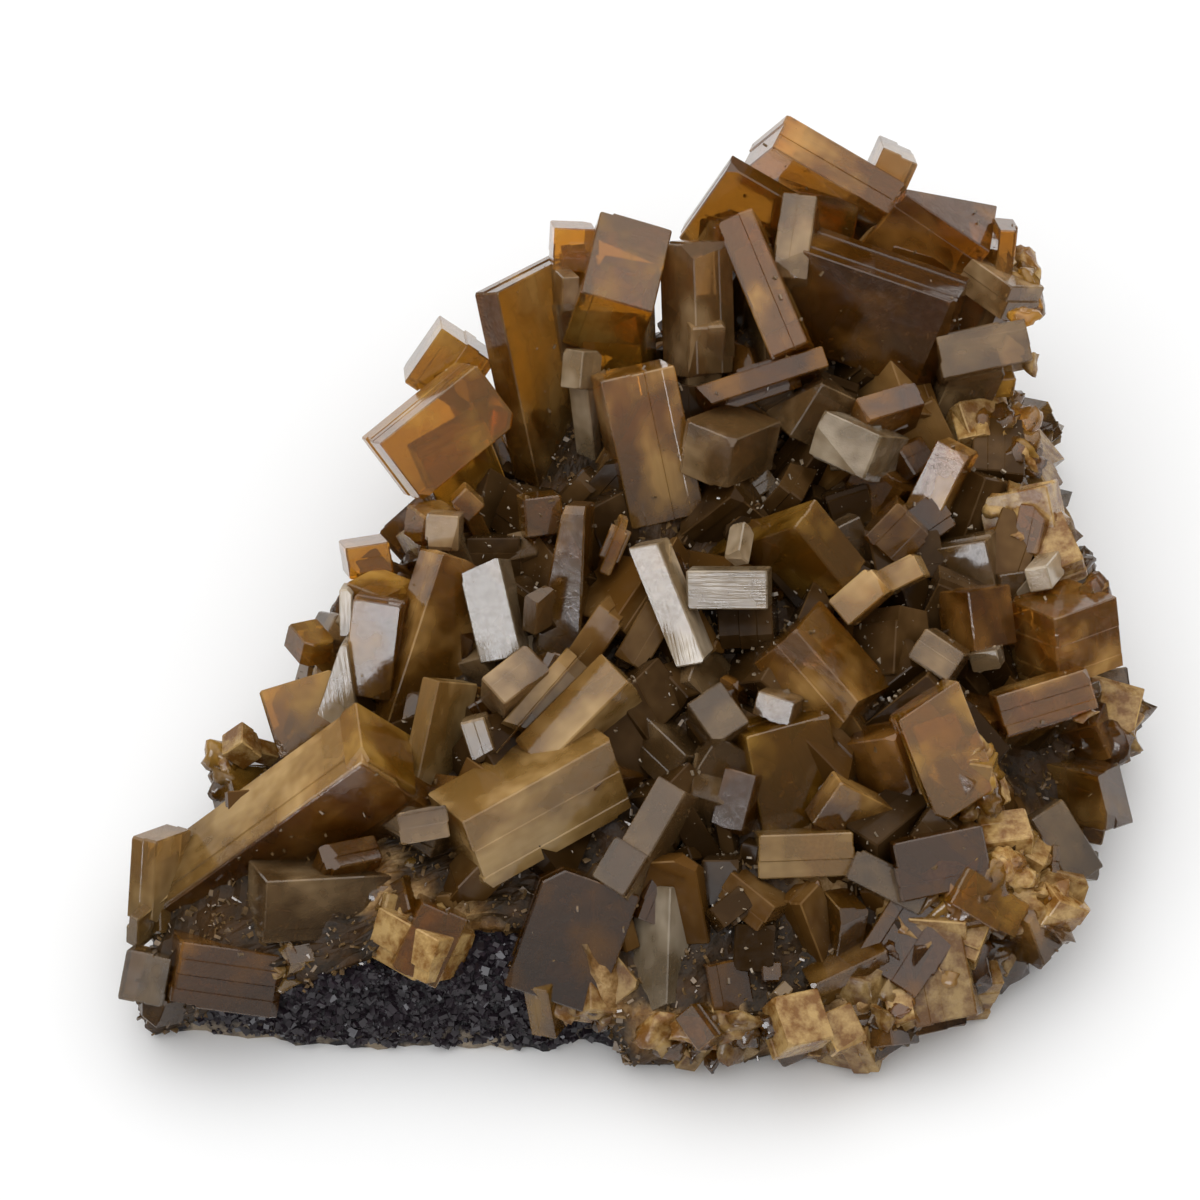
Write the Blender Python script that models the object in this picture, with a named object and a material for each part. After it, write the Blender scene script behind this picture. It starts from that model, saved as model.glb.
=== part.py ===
"""A plate of golden barite: thick tabular crystals grown together over a dark rock slab.

Two pieces in all. matrix_rock is the slab that the specimen was broken off with; its underside
is flat. barite_cluster is the crust and every crystal that stands on it, grown into one solid.

Units: the sizes below are millimetres, and are turned into metres as the meshes are made.
Frame: +Z is up, +Y runs away from the front edge, the origin is under the middle of the plate.

Each crystal is set down as it was measured: where its nearest corner shows in a view from the
front and above, how high that corner stands, which way its three edges run in that view, and how
long they are.
"""

import math
import random
from dataclasses import dataclass

import bmesh
import bpy
import numpy as np
from mathutils import Matrix, Vector, noise

MM = 0.001

# The measuring view: it looks along +Y and down, from far off, at a point inside the plate.
VIEW_RISE = 55.0
VIEW_DISTANCE = 350.0
VIEW_AIM = Vector((-3.2, 0.0, 15.0))

# The rock slab: the plan outline at table height, and its thickness at the front and the back.
PLAN_CENTRE = Vector((2.0, -8.0))
PLAN = (
    (-46.5, -41.0), (-33.0, -43.4), (-12.0, -44.0), (8.0, -43.4), (22.0, -42.6),
    (34.0, -35.5), (41.5, -25.0), (44.5, -12.0), (43.5, 4.0), (40.5, 22.0), (37.0, 35.0),
    (28.0, 42.0), (15.0, 41.0), (3.0, 34.0), (-8.0, 27.0), (-15.0, 18.0), (-21.0, 8.0),
    (-30.0, -6.0), (-38.5, -20.0), (-45.0, -29.0),
)
ROCK_FRONT = 9.5
ROCK_BACK = 15.5
ROCK_BUMP = 0.8
ROCK_SIDES = 40
BARE_SLOPE = 3.0
EDGE_FALL = 5.0

# The barite crust that covers the slab, and the gap that keeps the two meshes apart.
CRUST = 2.4
CRUST_MOUND = 1.6
CRUST_THINS = 1.2
CRUST_BUMP = 0.9
CRUST_SKIRT = 1.6
CRUST_LOWEST = 0.6
GAP = 0.3

# The crust swells up under the tallest crystals: where, how wide and how high.
SUMMIT_PLACE = Vector((20.0, 35.0))
SUMMIT_WIDTH = 11.0
SUMMIT_RISE = 7.0

# Each crystal is rooted this deep in the crust, by a stem this share of its width.
ROOT_DEPTH = 2.0
ROOT_SHARE = 0.62
LONGEST_STEM = 24.0

GROUND_COUNT = 24

# The crystals on the hidden sides stop short of the far left corner, in this direction, degrees.
BACK_ENDS = 203.0

# The plate under the great bar: how far it sits behind the bar's front face, its length along
# the bar, its thickness, where its face starts and where it ends at the near and far end, mm.
UNDER_INSET = 0.5
UNDER_LENGTH = 27.0
UNDER_THICK = 4.0
UNDER_TOP = 2.0
UNDER_NEAR_FOOT = 17.0
UNDER_FAR_FOOT = 5.0

# Faces that turn by less than this many degrees are joined as one flat face.
FLAT_WITHIN = 0.2

SEED = 20


@dataclass(frozen=True)
class Crystal:
    """One block-shaped crystal, given by its nearest corner and the three edges that meet there."""

    name: str
    near: tuple      # the corner's place in the view: right of and above the middle, mm
    height: float    # the corner's height over the table, mm
    edges: tuple     # the way each edge runs in the view, degrees from rightwards
    size: tuple      # length of each edge, mm
    taper: float = 1.0   # share of the second edge that is left at the near corner
    lean: float = 0.0    # degrees by which the second edge leans from square to the first


SUMMIT = (
    Crystal("summit_block", (17.1, 45.4), 36.0, (-30, 63, 219), (14.5, 4.0, 13.0)),
    Crystal("summit_left_plate", (12.9, 43.4), 34.0, (235, 70, -30), (11.5, 2.5, 9.0)),
    Crystal("long_blade", (20.8, 25.7), 29.0, (113, 204, -50), (15.5, 4.2, 6.0)),
    Crystal("mauve_bar", (20.6, 32.5), 31.0, (82, 175, 275), (9.6, 3.6, 7.0)),
    Crystal("front_plate", (35.7, 29.8), 31.0, (161, 57, 254), (16.8, 6.6, 11.0)),
    Crystal("back_cube", (28.4, 45.3), 33.0, (-23, 110, 246), (4.0, 8.0, 8.0)),
    Crystal("ridge_block", (30.5, 40.6), 33.0, (-34, 79, 230), (10.9, 10.0, 9.0), taper=0.12),
    Crystal("step_crystal", (40.0, 37.0), 30.0, (-3, 120, 265), (2.2, 6.0, 7.0)),
    Crystal("beak_prism", (41.3, 31.2), 28.0, (145, -1, 246), (8.0, 6.0, 4.0)),
    Crystal("east_grey_plate", (34.3, 22.1), 25.0, (12, 103, 240), (9.6, 4.8, 6.0)),
    Crystal("tall_block", (-1.9, 30.9), 31.5, (76, -16, 250), (10.8, 7.6, 10.0)),
    Crystal("grey_column", (9.4, 35.7), 33.0, (272, 177, 5), (14.0, 6.0, 5.0)),
    Crystal("great_west_plate", (-10.4, 31.0), 31.0, (282, 27, 185), (21.5, 17.0, 2.8)),
    Crystal("back_block", (-4.7, 37.2), 30.0, (-2, 120, 267), (4.6, 5.0, 4.5)),
    Crystal("lavender_chip", (-3.7, 32.3), 28.5, (269, 3, 135), (4.5, 1.8, 5.0)),
    Crystal("bright_chip", (-1.7, 25.0), 27.0, (265, 172, 0), (4.2, 2.6, 3.5)),
)

WEST_WING = (
    Crystal("wing_lower", (-22.2, 15.7), 26.0, (307, 162, 39), (7.8, 7.4, 13.0)),
    Crystal("wing_upper", (-15.7, 27.3), 26.0, (235, -34, 100), (7.0, 6.5, 8.0)),
    Crystal("wing_grey", (-13.7, 22.0), 25.5, (278, 19, 150), (2.6, 2.3, 4.0)),
    Crystal("wing_kite", (-13.5, 11.3), 23.5, (-43, 226, 100), (2.8, 2.4, 4.0)),
    Crystal("wing_foot", (-17.5, 8.3), 23.0, (146, 10, 260), (3.2, 4.5, 3.5)),
    Crystal("grey_square", (-14.1, 8.4), 24.5, (267, 176, 45), (3.7, 3.3, 4.5)),
    Crystal("gold_cube", (-25.6, 5.1), 22.0, (278, 9, 130), (3.2, 4.6, 6.0)),
    Crystal("olive_block", (-7.9, 10.0), 24.5, (276, 7, 140), (4.0, 4.2, 5.0)),
    Crystal("west_stack", (-21.6, 0.2), 22.5, (158, 28, 270), (5.0, 5.0, 5.0)),
    Crystal("west_plate", (-19.6, -0.5), 24.0, (263, 171, 50), (10.0, 5.2, 5.0)),
    Crystal("white_slat", (-24.8, 1.0), 22.0, (270, 178, 60), (5.0, 1.3, 3.0)),
    Crystal("silver_wedge", (-25.3, -4.5), 21.5, (278, 186, 60), (7.8, 4.5, 4.0), taper=0.15),
    Crystal("brown_plate", (-15.7, 4.8), 26.5, (252, 155, -15), (18.5, 4.3, 9.0)),
    Crystal("west_block", (-34.2, -9.0), 18.0, (287, 17, 120), (7.2, 7.6, 7.0)),
    Crystal("west_block_head", (-29.2, -4.7), 19.0, (257, 12, 130), (2.8, 3.4, 4.0)),
    Crystal("west_tooth", (-35.8, -14.2), 14.5, (-35, 215, 90), (3.0, 3.0, 3.0)),
)

CENTRE = (
    Crystal("window_block", (0.1, 21.9), 29.0, (282, 13, 150), (15.5, 7.6, 8.0)),
    Crystal("grey_rhomb", (13.3, 15.9), 28.0, (260, 158, 22), (5.6, 6.3, 9.0)),
    Crystal("dark_blade", (10.0, 19.2), 26.0, (18, 109, 240), (14.0, 2.2, 6.0)),
    Crystal("white_rhomb", (28.3, 16.3), 27.5, (248, 156, -4), (5.0, 7.1, 9.0)),
    Crystal("dark_block", (26.8, 18.0), 25.0, (17, 120, 250), (7.0, 3.0, 6.0)),
    Crystal("olive_edge_block", (22.2, 21.8), 27.5, (238, -25, 140), (6.6, 6.0, 5.0)),
    Crystal("tall_column", (-1.5, 9.5), 26.5, (268, 177, 30), (15.5, 4.8, 6.0), taper=0.45),
    Crystal("white_plate", (5.7, 5.7), 27.5, (292, 201, 30), (12.8, 3.4, 4.0), lean=10.0),
    Crystal("striated_bar", (16.7, 2.9), 26.5, (180, 271, 45), (8.0, 3.8, 4.0)),
    Crystal("light_chip", (13.8, 4.4), 25.0, (-38, 190, 80), (2.0, 1.8, 4.0)),
    Crystal("roof_block", (19.5, 7.5), 28.0, (199, 53, -51), (14.7, 4.4, 8.8)),
    Crystal("green_sliver", (2.2, 8.2), 24.5, (247, 338, 110), (6.0, 1.2, 3.5)),
    Crystal("striated_light", (-10.2, 4.6), 26.5, (283, 191, 40), (10.5, 4.3, 4.5)),
    Crystal("cream_column", (-16.2, -7.8), 24.5, (258, -5, 165), (12.5, 7.5, 2.0)),
    Crystal("grey_wedge_lath", (-11.7, -11.6), 23.0, (288, 196, 60), (4.5, 2.5, 3.0)),
    Crystal("grey_top_rhomb", (-9.7, -10.5), 23.5, (132, 38, 265), (3.5, 6.0, 6.0)),
    Crystal("upper_plank", (0.3, -3.2), 26.0, (229, 140, -30), (16.0, 3.2, 5.0), lean=-10.0),
    Crystal("lower_plank", (3.0, -8.0), 25.5, (225, 134, -40), (12.0, 4.2, 8.0)),
    Crystal("front_beige_block", (-13.7, -22.4), 23.0, (29, 141, 290), (17.0, 8.0, 8.0)),
    Crystal("slat_chip", (-6.3, 0.2), 25.0, (266, 157, 30), (4.5, 1.7, 3.0)),
    Crystal("centre_block", (-0.3, -18.2), 20.5, (243, 8, 140), (8.5, 8.0, 6.0)),
    Crystal("centre_tooth", (11.5, -14.4), 22.0, (125, 33, 260), (5.0, 4.0, 6.0)),
)

EAST = (
    Crystal("line_block", (19.5, -3.0), 26.0, (311, 218, 50), (11.6, 6.0, 8.0)),
    Crystal("honey_slab", (36.8, 14.3), 25.5, (244, 152, 20), (8.2, 3.6, 5.0)),
    Crystal("honey_foot", (29.8, 9.7), 24.5, (-43, 226, 100), (4.8, 5.0, 5.0)),
    Crystal("pale_slab", (29.0, 1.0), 24.5, (221, 130, -5), (5.6, 3.2, 4.0)),
    Crystal("pale_step", (32.5, 2.5), 24.0, (207, 116, 0), (4.6, 2.6, 4.0)),
    Crystal("east_tile", (36.5, -5.5), 23.5, (146, 237, 10), (4.8, 3.4, 5.0)),
    Crystal("east_tile_small", (39.7, -5.0), 22.0, (190, 281, 55), (3.0, 1.9, 5.0)),
    Crystal("middle_tile", (19.5, -10.3), 23.0, (162, 255, 30), (4.0, 2.7, 5.0)),
    Crystal("orange_plate", (29.7, -12.0), 24.0, (291, 22, 155), (11.0, 7.2, 6.0), lean=12.0),
    Crystal("east_block", (45.3, -2.0), 23.5, (276, 20, 158), (7.6, 8.0, 8.3)),
    Crystal("striated_chip", (44.6, 3.5), 22.5, (285, 190, 50), (2.6, 2.4, 5.0)),
    Crystal("mauve_long_block", (39.5, -9.7), 21.0, (17, 286, 150), (9.5, 4.4, 6.0)),
    Crystal("dark_pair", (36.8, 1.0), 24.0, (277, 180, 10), (6.2, 6.0, 5.0)),
    Crystal("far_east_block", (51.2, -17.7), 14.0, (166, 18, 265), (10.0, 5.2, 5.8)),
    Crystal("honey_face", (14.5, -13.5), 22.0, (280, 15, 150), (10.5, 9.0, 7.0)),
    Crystal("edged_lath", (15.7, -17.5), 20.5, (255, 163, 10), (6.4, 3.6, 5.0)),
    Crystal("luminous_bar", (15.6, -23.6), 17.5, (2, 271, 130), (9.6, 4.2, 5.0)),
    Crystal("dark_step", (29.5, -13.7), 21.0, (290, 188, 50), (7.0, 6.0, 5.0)),
    Crystal("olive_step", (24.0, -18.2), 20.0, (-27, 124, 235), (7.2, 3.0, 5.0)),
    Crystal("brown_face", (29.0, -24.5), 18.0, (12, 281, 145), (9.2, 5.6, 7.0)),
    Crystal("grey_long_tile", (24.4, -27.6), 15.5, (-27, 64, 200), (8.4, 3.2, 5.0)),
    Crystal("mauve_shard", (43.0, -21.8), 14.0, (-59, 35, 190), (8.0, 4.0, 4.5)),
    Crystal("edge_chip", (47.8, -23.8), 9.5, (255, 175, 30), (2.8, 2.4, 3.0)),
)

FRONT = (
    Crystal("great_bar", (-23.8, -15.9), 26.0, (216, 98, -31), (29.0, 7.4, 8.0)),
    Crystal("far_west_plate", (-44.5, -24.1), 15.0, (267, 164, 20), (8.8, 3.0, 6.0)),
    Crystal("far_west_slat", (-46.3, -32.0), 10.5, (269, 150, 40), (4.6, 1.5, 6.0)),
    Crystal("far_west_block", (-42.8, -35.8), 11.0, (260, 169, 40), (5.0, 4.4, 5.0)),
    Crystal("far_west_tip", (-43.4, -40.3), 8.5, (249, 141, 10), (3.0, 4.0, 4.0)),
    Crystal("mauve_front_block", (-33.5, -28.2), 18.0, (3, 268, 130), (16.0, 6.2, 7.0)),
    Crystal("brown_ledge", (-42.0, -34.2), 14.5, (-8, 261, 125), (10.5, 6.0, 9.0)),
    Crystal("brown_front_block", (-5.2, -26.2), 18.0, (250, -19, 120), (12.5, 9.6, 7.0)),
    Crystal("front_column", (6.9, -28.5), 16.0, (268, 175, 3), (13.8, 4.4, 5.0)),
    Crystal("grey_plank", (8.6, -19.2), 21.5, (240, 149, -25), (12.0, 3.4, 5.0)),
    Crystal("grey_tile", (5.0, -25.7), 18.5, (239, 148, -20), (4.6, 4.2, 4.0)),
    Crystal("lilac_hinge", (8.7, -28.0), 17.0, (160, -16, 270), (6.0, 3.4, 2.5)),
    Crystal("tan_block", (21.0, -38.8), 10.0, (120, 25, 290), (6.8, 8.2, 6.0)),
    Crystal("dark_gold_plate", (10.6, -36.5), 11.5, (280, 12, 145), (6.0, 4.0, 5.0)),
    Crystal("gold_foot", (9.2, -39.3), 8.5, (275, 8, 140), (4.2, 3.0, 4.0)),
    Crystal("shard_left", (-20.0, -24.5), 17.5, (10, 100, 285), (5.0, 3.0, 5.0)),
)

MEASURED = SUMMIT + WEST_WING + CENTRE + EAST + FRONT


def view_axes():
    """Return the measuring view's right, up and towards-the-viewer directions."""
    rise = math.radians(VIEW_RISE)
    right = Vector((1.0, 0.0, 0.0))
    up = Vector((0.0, math.sin(rise), math.cos(rise)))
    return right, up, right.cross(up)


def sight(across, above, height):
    """Follow a line of sight down to a height; return the point and the local view axes."""
    right, up, towards = view_axes()
    eye = VIEW_AIM + towards * VIEW_DISTANCE
    ray = (VIEW_AIM + right * across + up * above - eye).normalized()
    point = eye + ray * ((height - eye.z) / ray.z)
    side = (right - ray * right.dot(ray)).normalized()
    return point, side, (-ray).cross(side), -ray


def edge_directions(angles, side, up, towards):
    """Turn the picture angles of three square edges into directions in space.

    Square edges fix how far each one runs away from the viewer: for any two of them the
    products of those depths is minus the cosine of the angle between them in the picture.
    """
    first, second, third = (math.radians(angle) for angle in angles)
    c12 = math.cos(first - second)
    c13 = math.cos(first - third)
    c23 = math.cos(second - third)
    depth_first = -math.sqrt(max(-c12 * c13 / c23, 1e-6))
    depths = (depth_first, -c12 / depth_first, -c13 / depth_first)
    directions = []
    for angle, depth in zip((first, second, third), depths):
        direction = side * math.cos(angle) + up * math.sin(angle) + towards * depth
        directions.append(direction.normalized())
    return directions


def crystal_corners(crystal):
    """Work out the eight corners of a crystal, nearest corner first."""
    near, side, up, towards = sight(*crystal.near, crystal.height)
    first, second, third = edge_directions(crystal.edges, side, up, towards)
    second = Matrix.Rotation(math.radians(-crystal.lean), 3, second.cross(first)) @ second
    a = first * crystal.size[0]
    b = second * crystal.size[1]
    c = third * crystal.size[2]
    short_b = b * crystal.taper
    return [near, near + a, near + a + b, near + short_b,
            near + c, near + a + c, near + a + b + c, near + short_b + c]


def block_corners(foot, along, across, size):
    """Return the corners of a block that stands on foot, its length along a direction."""
    along = along.normalized()
    across = (across - along * across.dot(along)).normalized()
    third = along.cross(across)
    b = across * size[1]
    c = third * size[2]
    start = foot - b / 2.0 - c / 2.0
    tip = along * size[0]
    return [start + tip, start, start + b, start + tip + b,
            start + tip + c, start + c, start + b + c, start + tip + b + c]


BLOCK_FACES = ((0, 3, 2, 1), (4, 5, 6, 7), (0, 1, 5, 4), (1, 2, 6, 5), (2, 3, 7, 6), (3, 0, 4, 7))


def plan_radius(angle):
    """Distance from the plan's centre to its outline in one direction, mm."""
    ray = Vector((math.cos(angle), math.sin(angle)))
    points = [Vector(point) - PLAN_CENTRE for point in PLAN]
    best = 0.0
    for start, end in zip(points, points[1:] + points[:1]):
        edge = end - start
        cross = ray.x * edge.y - ray.y * edge.x
        if abs(cross) < 1e-9:
            continue
        reach = (start.x * edge.y - start.y * edge.x) / cross
        share = (start.x * ray.y - start.y * ray.x) / cross
        if reach > 0.0 and -1e-9 <= share <= 1.0 + 1e-9:
            best = max(best, reach)
    return best


def bumps(x, y, z, scale):
    """Smooth lumps between -1 and 1, repeating at about the given scale in mm."""
    return noise.noise(Vector((x, y, z)) / scale + Vector((7.3, 1.9, 4.1)))


def bare_front(angle):
    """How bare the slab's side is in one direction: 1 along the front left, else 0."""
    degrees = math.degrees(angle) % 360.0
    rise = min(max((degrees - 214.0) / 8.0, 0.0), 1.0)
    fall = min(max((266.0 - degrees) / 8.0, 0.0), 1.0)
    return min(rise, fall)


def plan_place(x, y):
    """Where a place lies in the plan: its direction, and its share of the way to the outline."""
    place = Vector((x, y)) - PLAN_CENTRE
    angle = math.atan2(place.y, place.x)
    return angle, place.length / plan_radius(angle)


def rock_top(x, y):
    """Height of the slab's upper side: it rises to the back and falls off near the edges."""
    angle, share = plan_place(x, y)
    back = min(max((y + 44.0) / 80.0, 0.0), 1.0)
    swell = ROCK_BUMP * bumps(x, y, 0.0, 9.0)
    fall = EDGE_FALL * (1.0 - bare_front(angle)) * min(share, 1.0) ** 4
    return ROCK_FRONT + (ROCK_BACK - ROCK_FRONT) * back + swell - fall


def ring_solid(rings, middle_low, middle_top):
    """Close a stack of rings into a solid, with a middle point at its underside and its top."""
    mesh = bmesh.new()
    loops = [[mesh.verts.new(point * MM) for point in ring] for ring in rings]
    count = len(loops[0])
    for lower, upper in zip(loops, loops[1:]):
        for i in range(count):
            j = (i + 1) % count
            mesh.faces.new((lower[i], lower[j], upper[j], upper[i]))
    low = mesh.verts.new(middle_low * MM)
    top = mesh.verts.new(middle_top * MM)
    for i in range(count):
        j = (i + 1) % count
        mesh.faces.new((low, loops[0][j], loops[0][i]))
        mesh.faces.new((top, loops[-1][i], loops[-1][j]))
    bmesh.ops.triangulate(mesh, faces=mesh.faces)
    bmesh.ops.recalc_face_normals(mesh, faces=mesh.faces)
    return mesh


def rock_rings(grow):
    """Rings of the slab from its underside up over its side and across its top."""
    angles = [2.0 * math.pi * i / ROCK_SIDES for i in range(ROCK_SIDES)]
    rings = []
    for share, inset in ((0.0, 1.6), (0.12, 0.3), (0.42, -0.4), (0.72, 0.2), (0.95, 1.2)):
        ring = []
        for angle in angles:
            radius = plan_radius(angle) - inset - BARE_SLOPE * share * bare_front(angle)
            x = PLAN_CENTRE.x + radius * math.cos(angle)
            y = PLAN_CENTRE.y + radius * math.sin(angle)
            z = rock_top(x, y) * share
            rough = 0.9 * bumps(x, y, z * 2.0, 3.5) if share > 0.0 else 0.0
            radius += rough + grow
            x = PLAN_CENTRE.x + radius * math.cos(angle)
            y = PLAN_CENTRE.y + radius * math.sin(angle)
            ring.append(Vector((x, y, z - grow if share == 0.0 else z)))
        rings.append(ring)
    for share in (0.9, 0.72, 0.5, 0.26):
        ring = []
        for angle in angles:
            radius = (plan_radius(angle) - 1.2) * share + grow
            x = PLAN_CENTRE.x + radius * math.cos(angle)
            y = PLAN_CENTRE.y + radius * math.sin(angle)
            ring.append(Vector((x, y, rock_top(x, y) + grow)))
        rings.append(ring)
    return rings


def rock_solid(grow=0.0):
    """The slab as a closed mesh, or a copy of it grown by a gap."""
    centre = Vector((PLAN_CENTRE.x, PLAN_CENTRE.y, 0.0))
    top = Vector((centre.x, centre.y, rock_top(centre.x, centre.y) + grow))
    return ring_solid(rock_rings(grow), centre - Vector((0.0, 0.0, grow)), top)


def crust_top(x, y):
    """Height of the barite crust between the crystals: thickest inwards from the edges."""
    angle, share = plan_place(x, y)
    mound = CRUST_MOUND * max(0.0, 1.0 - share ** 3)
    mound -= CRUST_THINS * bare_front(angle) * min(share, 1.0) ** 4
    lumps = bumps(x, y, 3.0, 6.0) + 0.5 * bumps(x, y, 9.0, 2.6)
    away = (Vector((x, y)) - SUMMIT_PLACE).length / SUMMIT_WIDTH
    summit = SUMMIT_RISE * math.exp(-away * away)
    return rock_top(x, y) + CRUST + mound + summit + CRUST_BUMP * lumps


def crust_solid():
    """The crust: it caps the slab and hangs over its side, except along the bare front left."""
    angles = [2.0 * math.pi * i / ROCK_SIDES for i in range(ROCK_SIDES)]
    rings = []
    for share, spread in ((0.0, 0.5), (0.35, 1.0), (0.7, 0.9), (1.0, 0.35)):
        ring = []
        for angle in angles:
            bare = bare_front(angle)
            outward = CRUST_SKIRT * spread * (1.0 - bare) - (1.6 + BARE_SLOPE) * bare
            radius = plan_radius(angle) + outward
            x = PLAN_CENTRE.x + radius * math.cos(angle)
            y = PLAN_CENTRE.y + radius * math.sin(angle)
            top = crust_top(x, y) - 0.8
            low = CRUST_LOWEST + bare * (rock_top(x, y) - 1.5 - CRUST_LOWEST)
            z = low + (top - low) * share
            radius += 0.9 * bumps(x, y, z * 2.0, 4.0)
            x = PLAN_CENTRE.x + radius * math.cos(angle)
            y = PLAN_CENTRE.y + radius * math.sin(angle)
            ring.append(Vector((x, y, z)))
        rings.append(ring)
    for share in (0.92, 0.78, 0.6, 0.4, 0.2):
        ring = []
        for angle in angles:
            radius = plan_radius(angle) * share
            x = PLAN_CENTRE.x + radius * math.cos(angle)
            y = PLAN_CENTRE.y + radius * math.sin(angle)
            ring.append(Vector((x, y, crust_top(x, y))))
        rings.append(ring)
    centre = Vector((PLAN_CENTRE.x, PLAN_CENTRE.y, 0.0))
    low = centre + Vector((0.0, 0.0, rock_top(centre.x, centre.y) - 4.0))
    top = centre + Vector((0.0, 0.0, crust_top(centre.x, centre.y)))
    return ring_solid(rings, low, top)


def back_crystals():
    """Crystals on the sides that the measuring view doesn't reach, leaning out of the crust."""
    picker = random.Random(SEED)
    blocks = []
    for tier, (spacing, share, lift) in enumerate(((15.0, 0.96, 0.55), (19.0, 1.0, 0.0))):
        angle = -38.0 + 7.0 * tier
        while angle < 212.0:
            spread = math.radians(angle + picker.uniform(-4.0, 4.0))
            radius = plan_radius(spread) * share - 2.0
            x = PLAN_CENTRE.x + radius * math.cos(spread)
            y = PLAN_CENTRE.y + radius * math.sin(spread)
            length = picker.uniform(6.5, 10.5)
            wide = picker.uniform(4.0, 7.5)
            thick = picker.uniform(2.6, 5.0)
            z = rock_top(x, y) * (0.35 + 0.45 * lift) + picker.uniform(-1.0, 1.5)
            outward = Vector((math.cos(spread), math.sin(spread), lift + picker.uniform(-0.15, 0.3)))
            turn = picker.uniform(0.0, 2.0 * math.pi)
            across = Vector((math.cos(turn), math.sin(turn), picker.uniform(-1.0, 1.0)))
            corners = block_corners(Vector((x, y, max(z, 4.5))), outward, across,
                                    (length, wide, thick))
            if math.degrees(spread) < BACK_ENDS:
                blocks.append(corners)
            angle += spacing * picker.uniform(0.8, 1.2)
    return blocks


def under_plate():
    """The corners of the plate that runs down from the great bar's dark front face."""
    bar = next(crystal for crystal in FRONT if crystal.name == "great_bar")
    near, side, up, towards = sight(*bar.near, bar.height)
    along, over, down = edge_directions(bar.edges, side, up, towards)
    start = near + over * UNDER_INSET
    end = start + along * UNDER_LENGTH
    thick = over * UNDER_THICK
    top = (start + down * UNDER_TOP, end + down * UNDER_TOP)
    foot = (start + down * UNDER_NEAR_FOOT, end + down * UNDER_FAR_FOOT)
    return [top[0], top[1], top[1] + thick, top[0] + thick,
            foot[0], foot[1], foot[1] + thick, foot[0] + thick]


def ground_crystals():
    """Low crystals that fill the ground between the tall ones."""
    picker = random.Random(SEED + 1)
    blocks = []
    for _ in range(GROUND_COUNT):
        spread = picker.uniform(0.0, 2.0 * math.pi)
        radius = plan_radius(spread) * math.sqrt(picker.uniform(0.02, 0.86))
        x = PLAN_CENTRE.x + radius * math.cos(spread)
        y = PLAN_CENTRE.y + radius * math.sin(spread)
        length = picker.uniform(4.0, 7.0)
        wide = picker.uniform(3.0, 6.0)
        thick = picker.uniform(2.0, 4.0)
        tilt = Vector((picker.uniform(-0.7, 0.7), picker.uniform(-0.7, 0.7), 1.0))
        turn = picker.uniform(0.0, 2.0 * math.pi)
        across = Vector((math.cos(turn), math.sin(turn), 0.0))
        foot = Vector((x, y, crust_top(x, y) - 2.5))
        blocks.append(block_corners(foot, tilt, across, (length, wide, thick)))
    return blocks


def inside_plan(x, y, margin):
    """Tell whether a place lies inside the plan's outline by a margin."""
    place = Vector((x, y)) - PLAN_CENTRE
    return place.length < plan_radius(math.atan2(place.y, place.x)) - margin


def is_rooted(corners):
    """Tell whether some corner of a crystal lies deep enough in the crust."""
    for corner in corners:
        if inside_plan(corner.x, corner.y, 1.0):
            if corner.z < crust_top(corner.x, corner.y) - ROOT_DEPTH:
                return True
    return False


def root_reach(middle, away):
    """How far a crystal's middle is from firm crust in one direction, mm."""
    reach = 0.0
    while reach < LONGEST_STEM:
        tip = middle + away * reach
        if inside_plan(tip.x, tip.y, 1.5) and tip.z < crust_top(tip.x, tip.y) - ROOT_DEPTH:
            return reach
        reach += 0.5
    return LONGEST_STEM


def stem_corners(corners):
    """The stem that a crystal stands on: it runs from the crystal's middle into the crust."""
    middle = sum(corners, Vector()) / len(corners)
    edges = [corners[1] - corners[0], corners[3] - corners[0], corners[4] - corners[0]]
    edges.sort(key=lambda edge: edge.length)
    _, _, towards = view_axes()
    inwards = Vector((PLAN_CENTRE.x - middle.x, PLAN_CENTRE.y - middle.y, 0.0)).normalized()
    down = Vector((0.0, 0.0, -1.0))
    ways = [-towards, inwards * 0.5 + down, inwards * 1.2 + down]
    reaches = [root_reach(middle, way.normalized()) for way in ways]
    shortest = min(range(len(ways)), key=lambda i: reaches[i] + 2.0 * i)
    away = ways[shortest].normalized()
    tip = middle + away * reaches[shortest]
    wide = (edges[-1].length * ROOT_SHARE, edges[1].length * ROOT_SHARE)
    return block_corners(tip, -away, edges[-1], (reaches[shortest], *wide))


def block_mesh(corners):
    """Make one crystal's closed mesh from its eight corners."""
    mesh = bmesh.new()
    verts = [mesh.verts.new(corner * MM) for corner in corners]
    for face in BLOCK_FACES:
        mesh.faces.new([verts[i] for i in face])
    bmesh.ops.triangulate(mesh, faces=mesh.faces)
    bmesh.ops.recalc_face_normals(mesh, faces=mesh.faces)
    return mesh


def new_object(name, mesh, material=None):
    """Turn a bmesh into an object of the scene."""
    data = bpy.data.meshes.new(name)
    mesh.to_mesh(data)
    mesh.free()
    if material is not None:
        data.materials.append(material)
    thing = bpy.data.objects.new(name, data)
    bpy.context.scene.collection.objects.link(thing)
    return thing


def new_material(name, colour, roughness):
    """A plain Principled material."""
    material = bpy.data.materials.new(name)
    material.use_nodes = True
    shader = material.node_tree.nodes["Principled BSDF"]
    shader.inputs["Base Color"].default_value = (*colour, 1.0)
    shader.inputs["Roughness"].default_value = roughness
    shader.inputs["Metallic"].default_value = 0.0
    return material


def guide(thing):
    """Mark an object as a helper that isn't part of the model."""
    thing.hide_render = True
    thing.display_type = "WIRE"
    return thing


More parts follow.
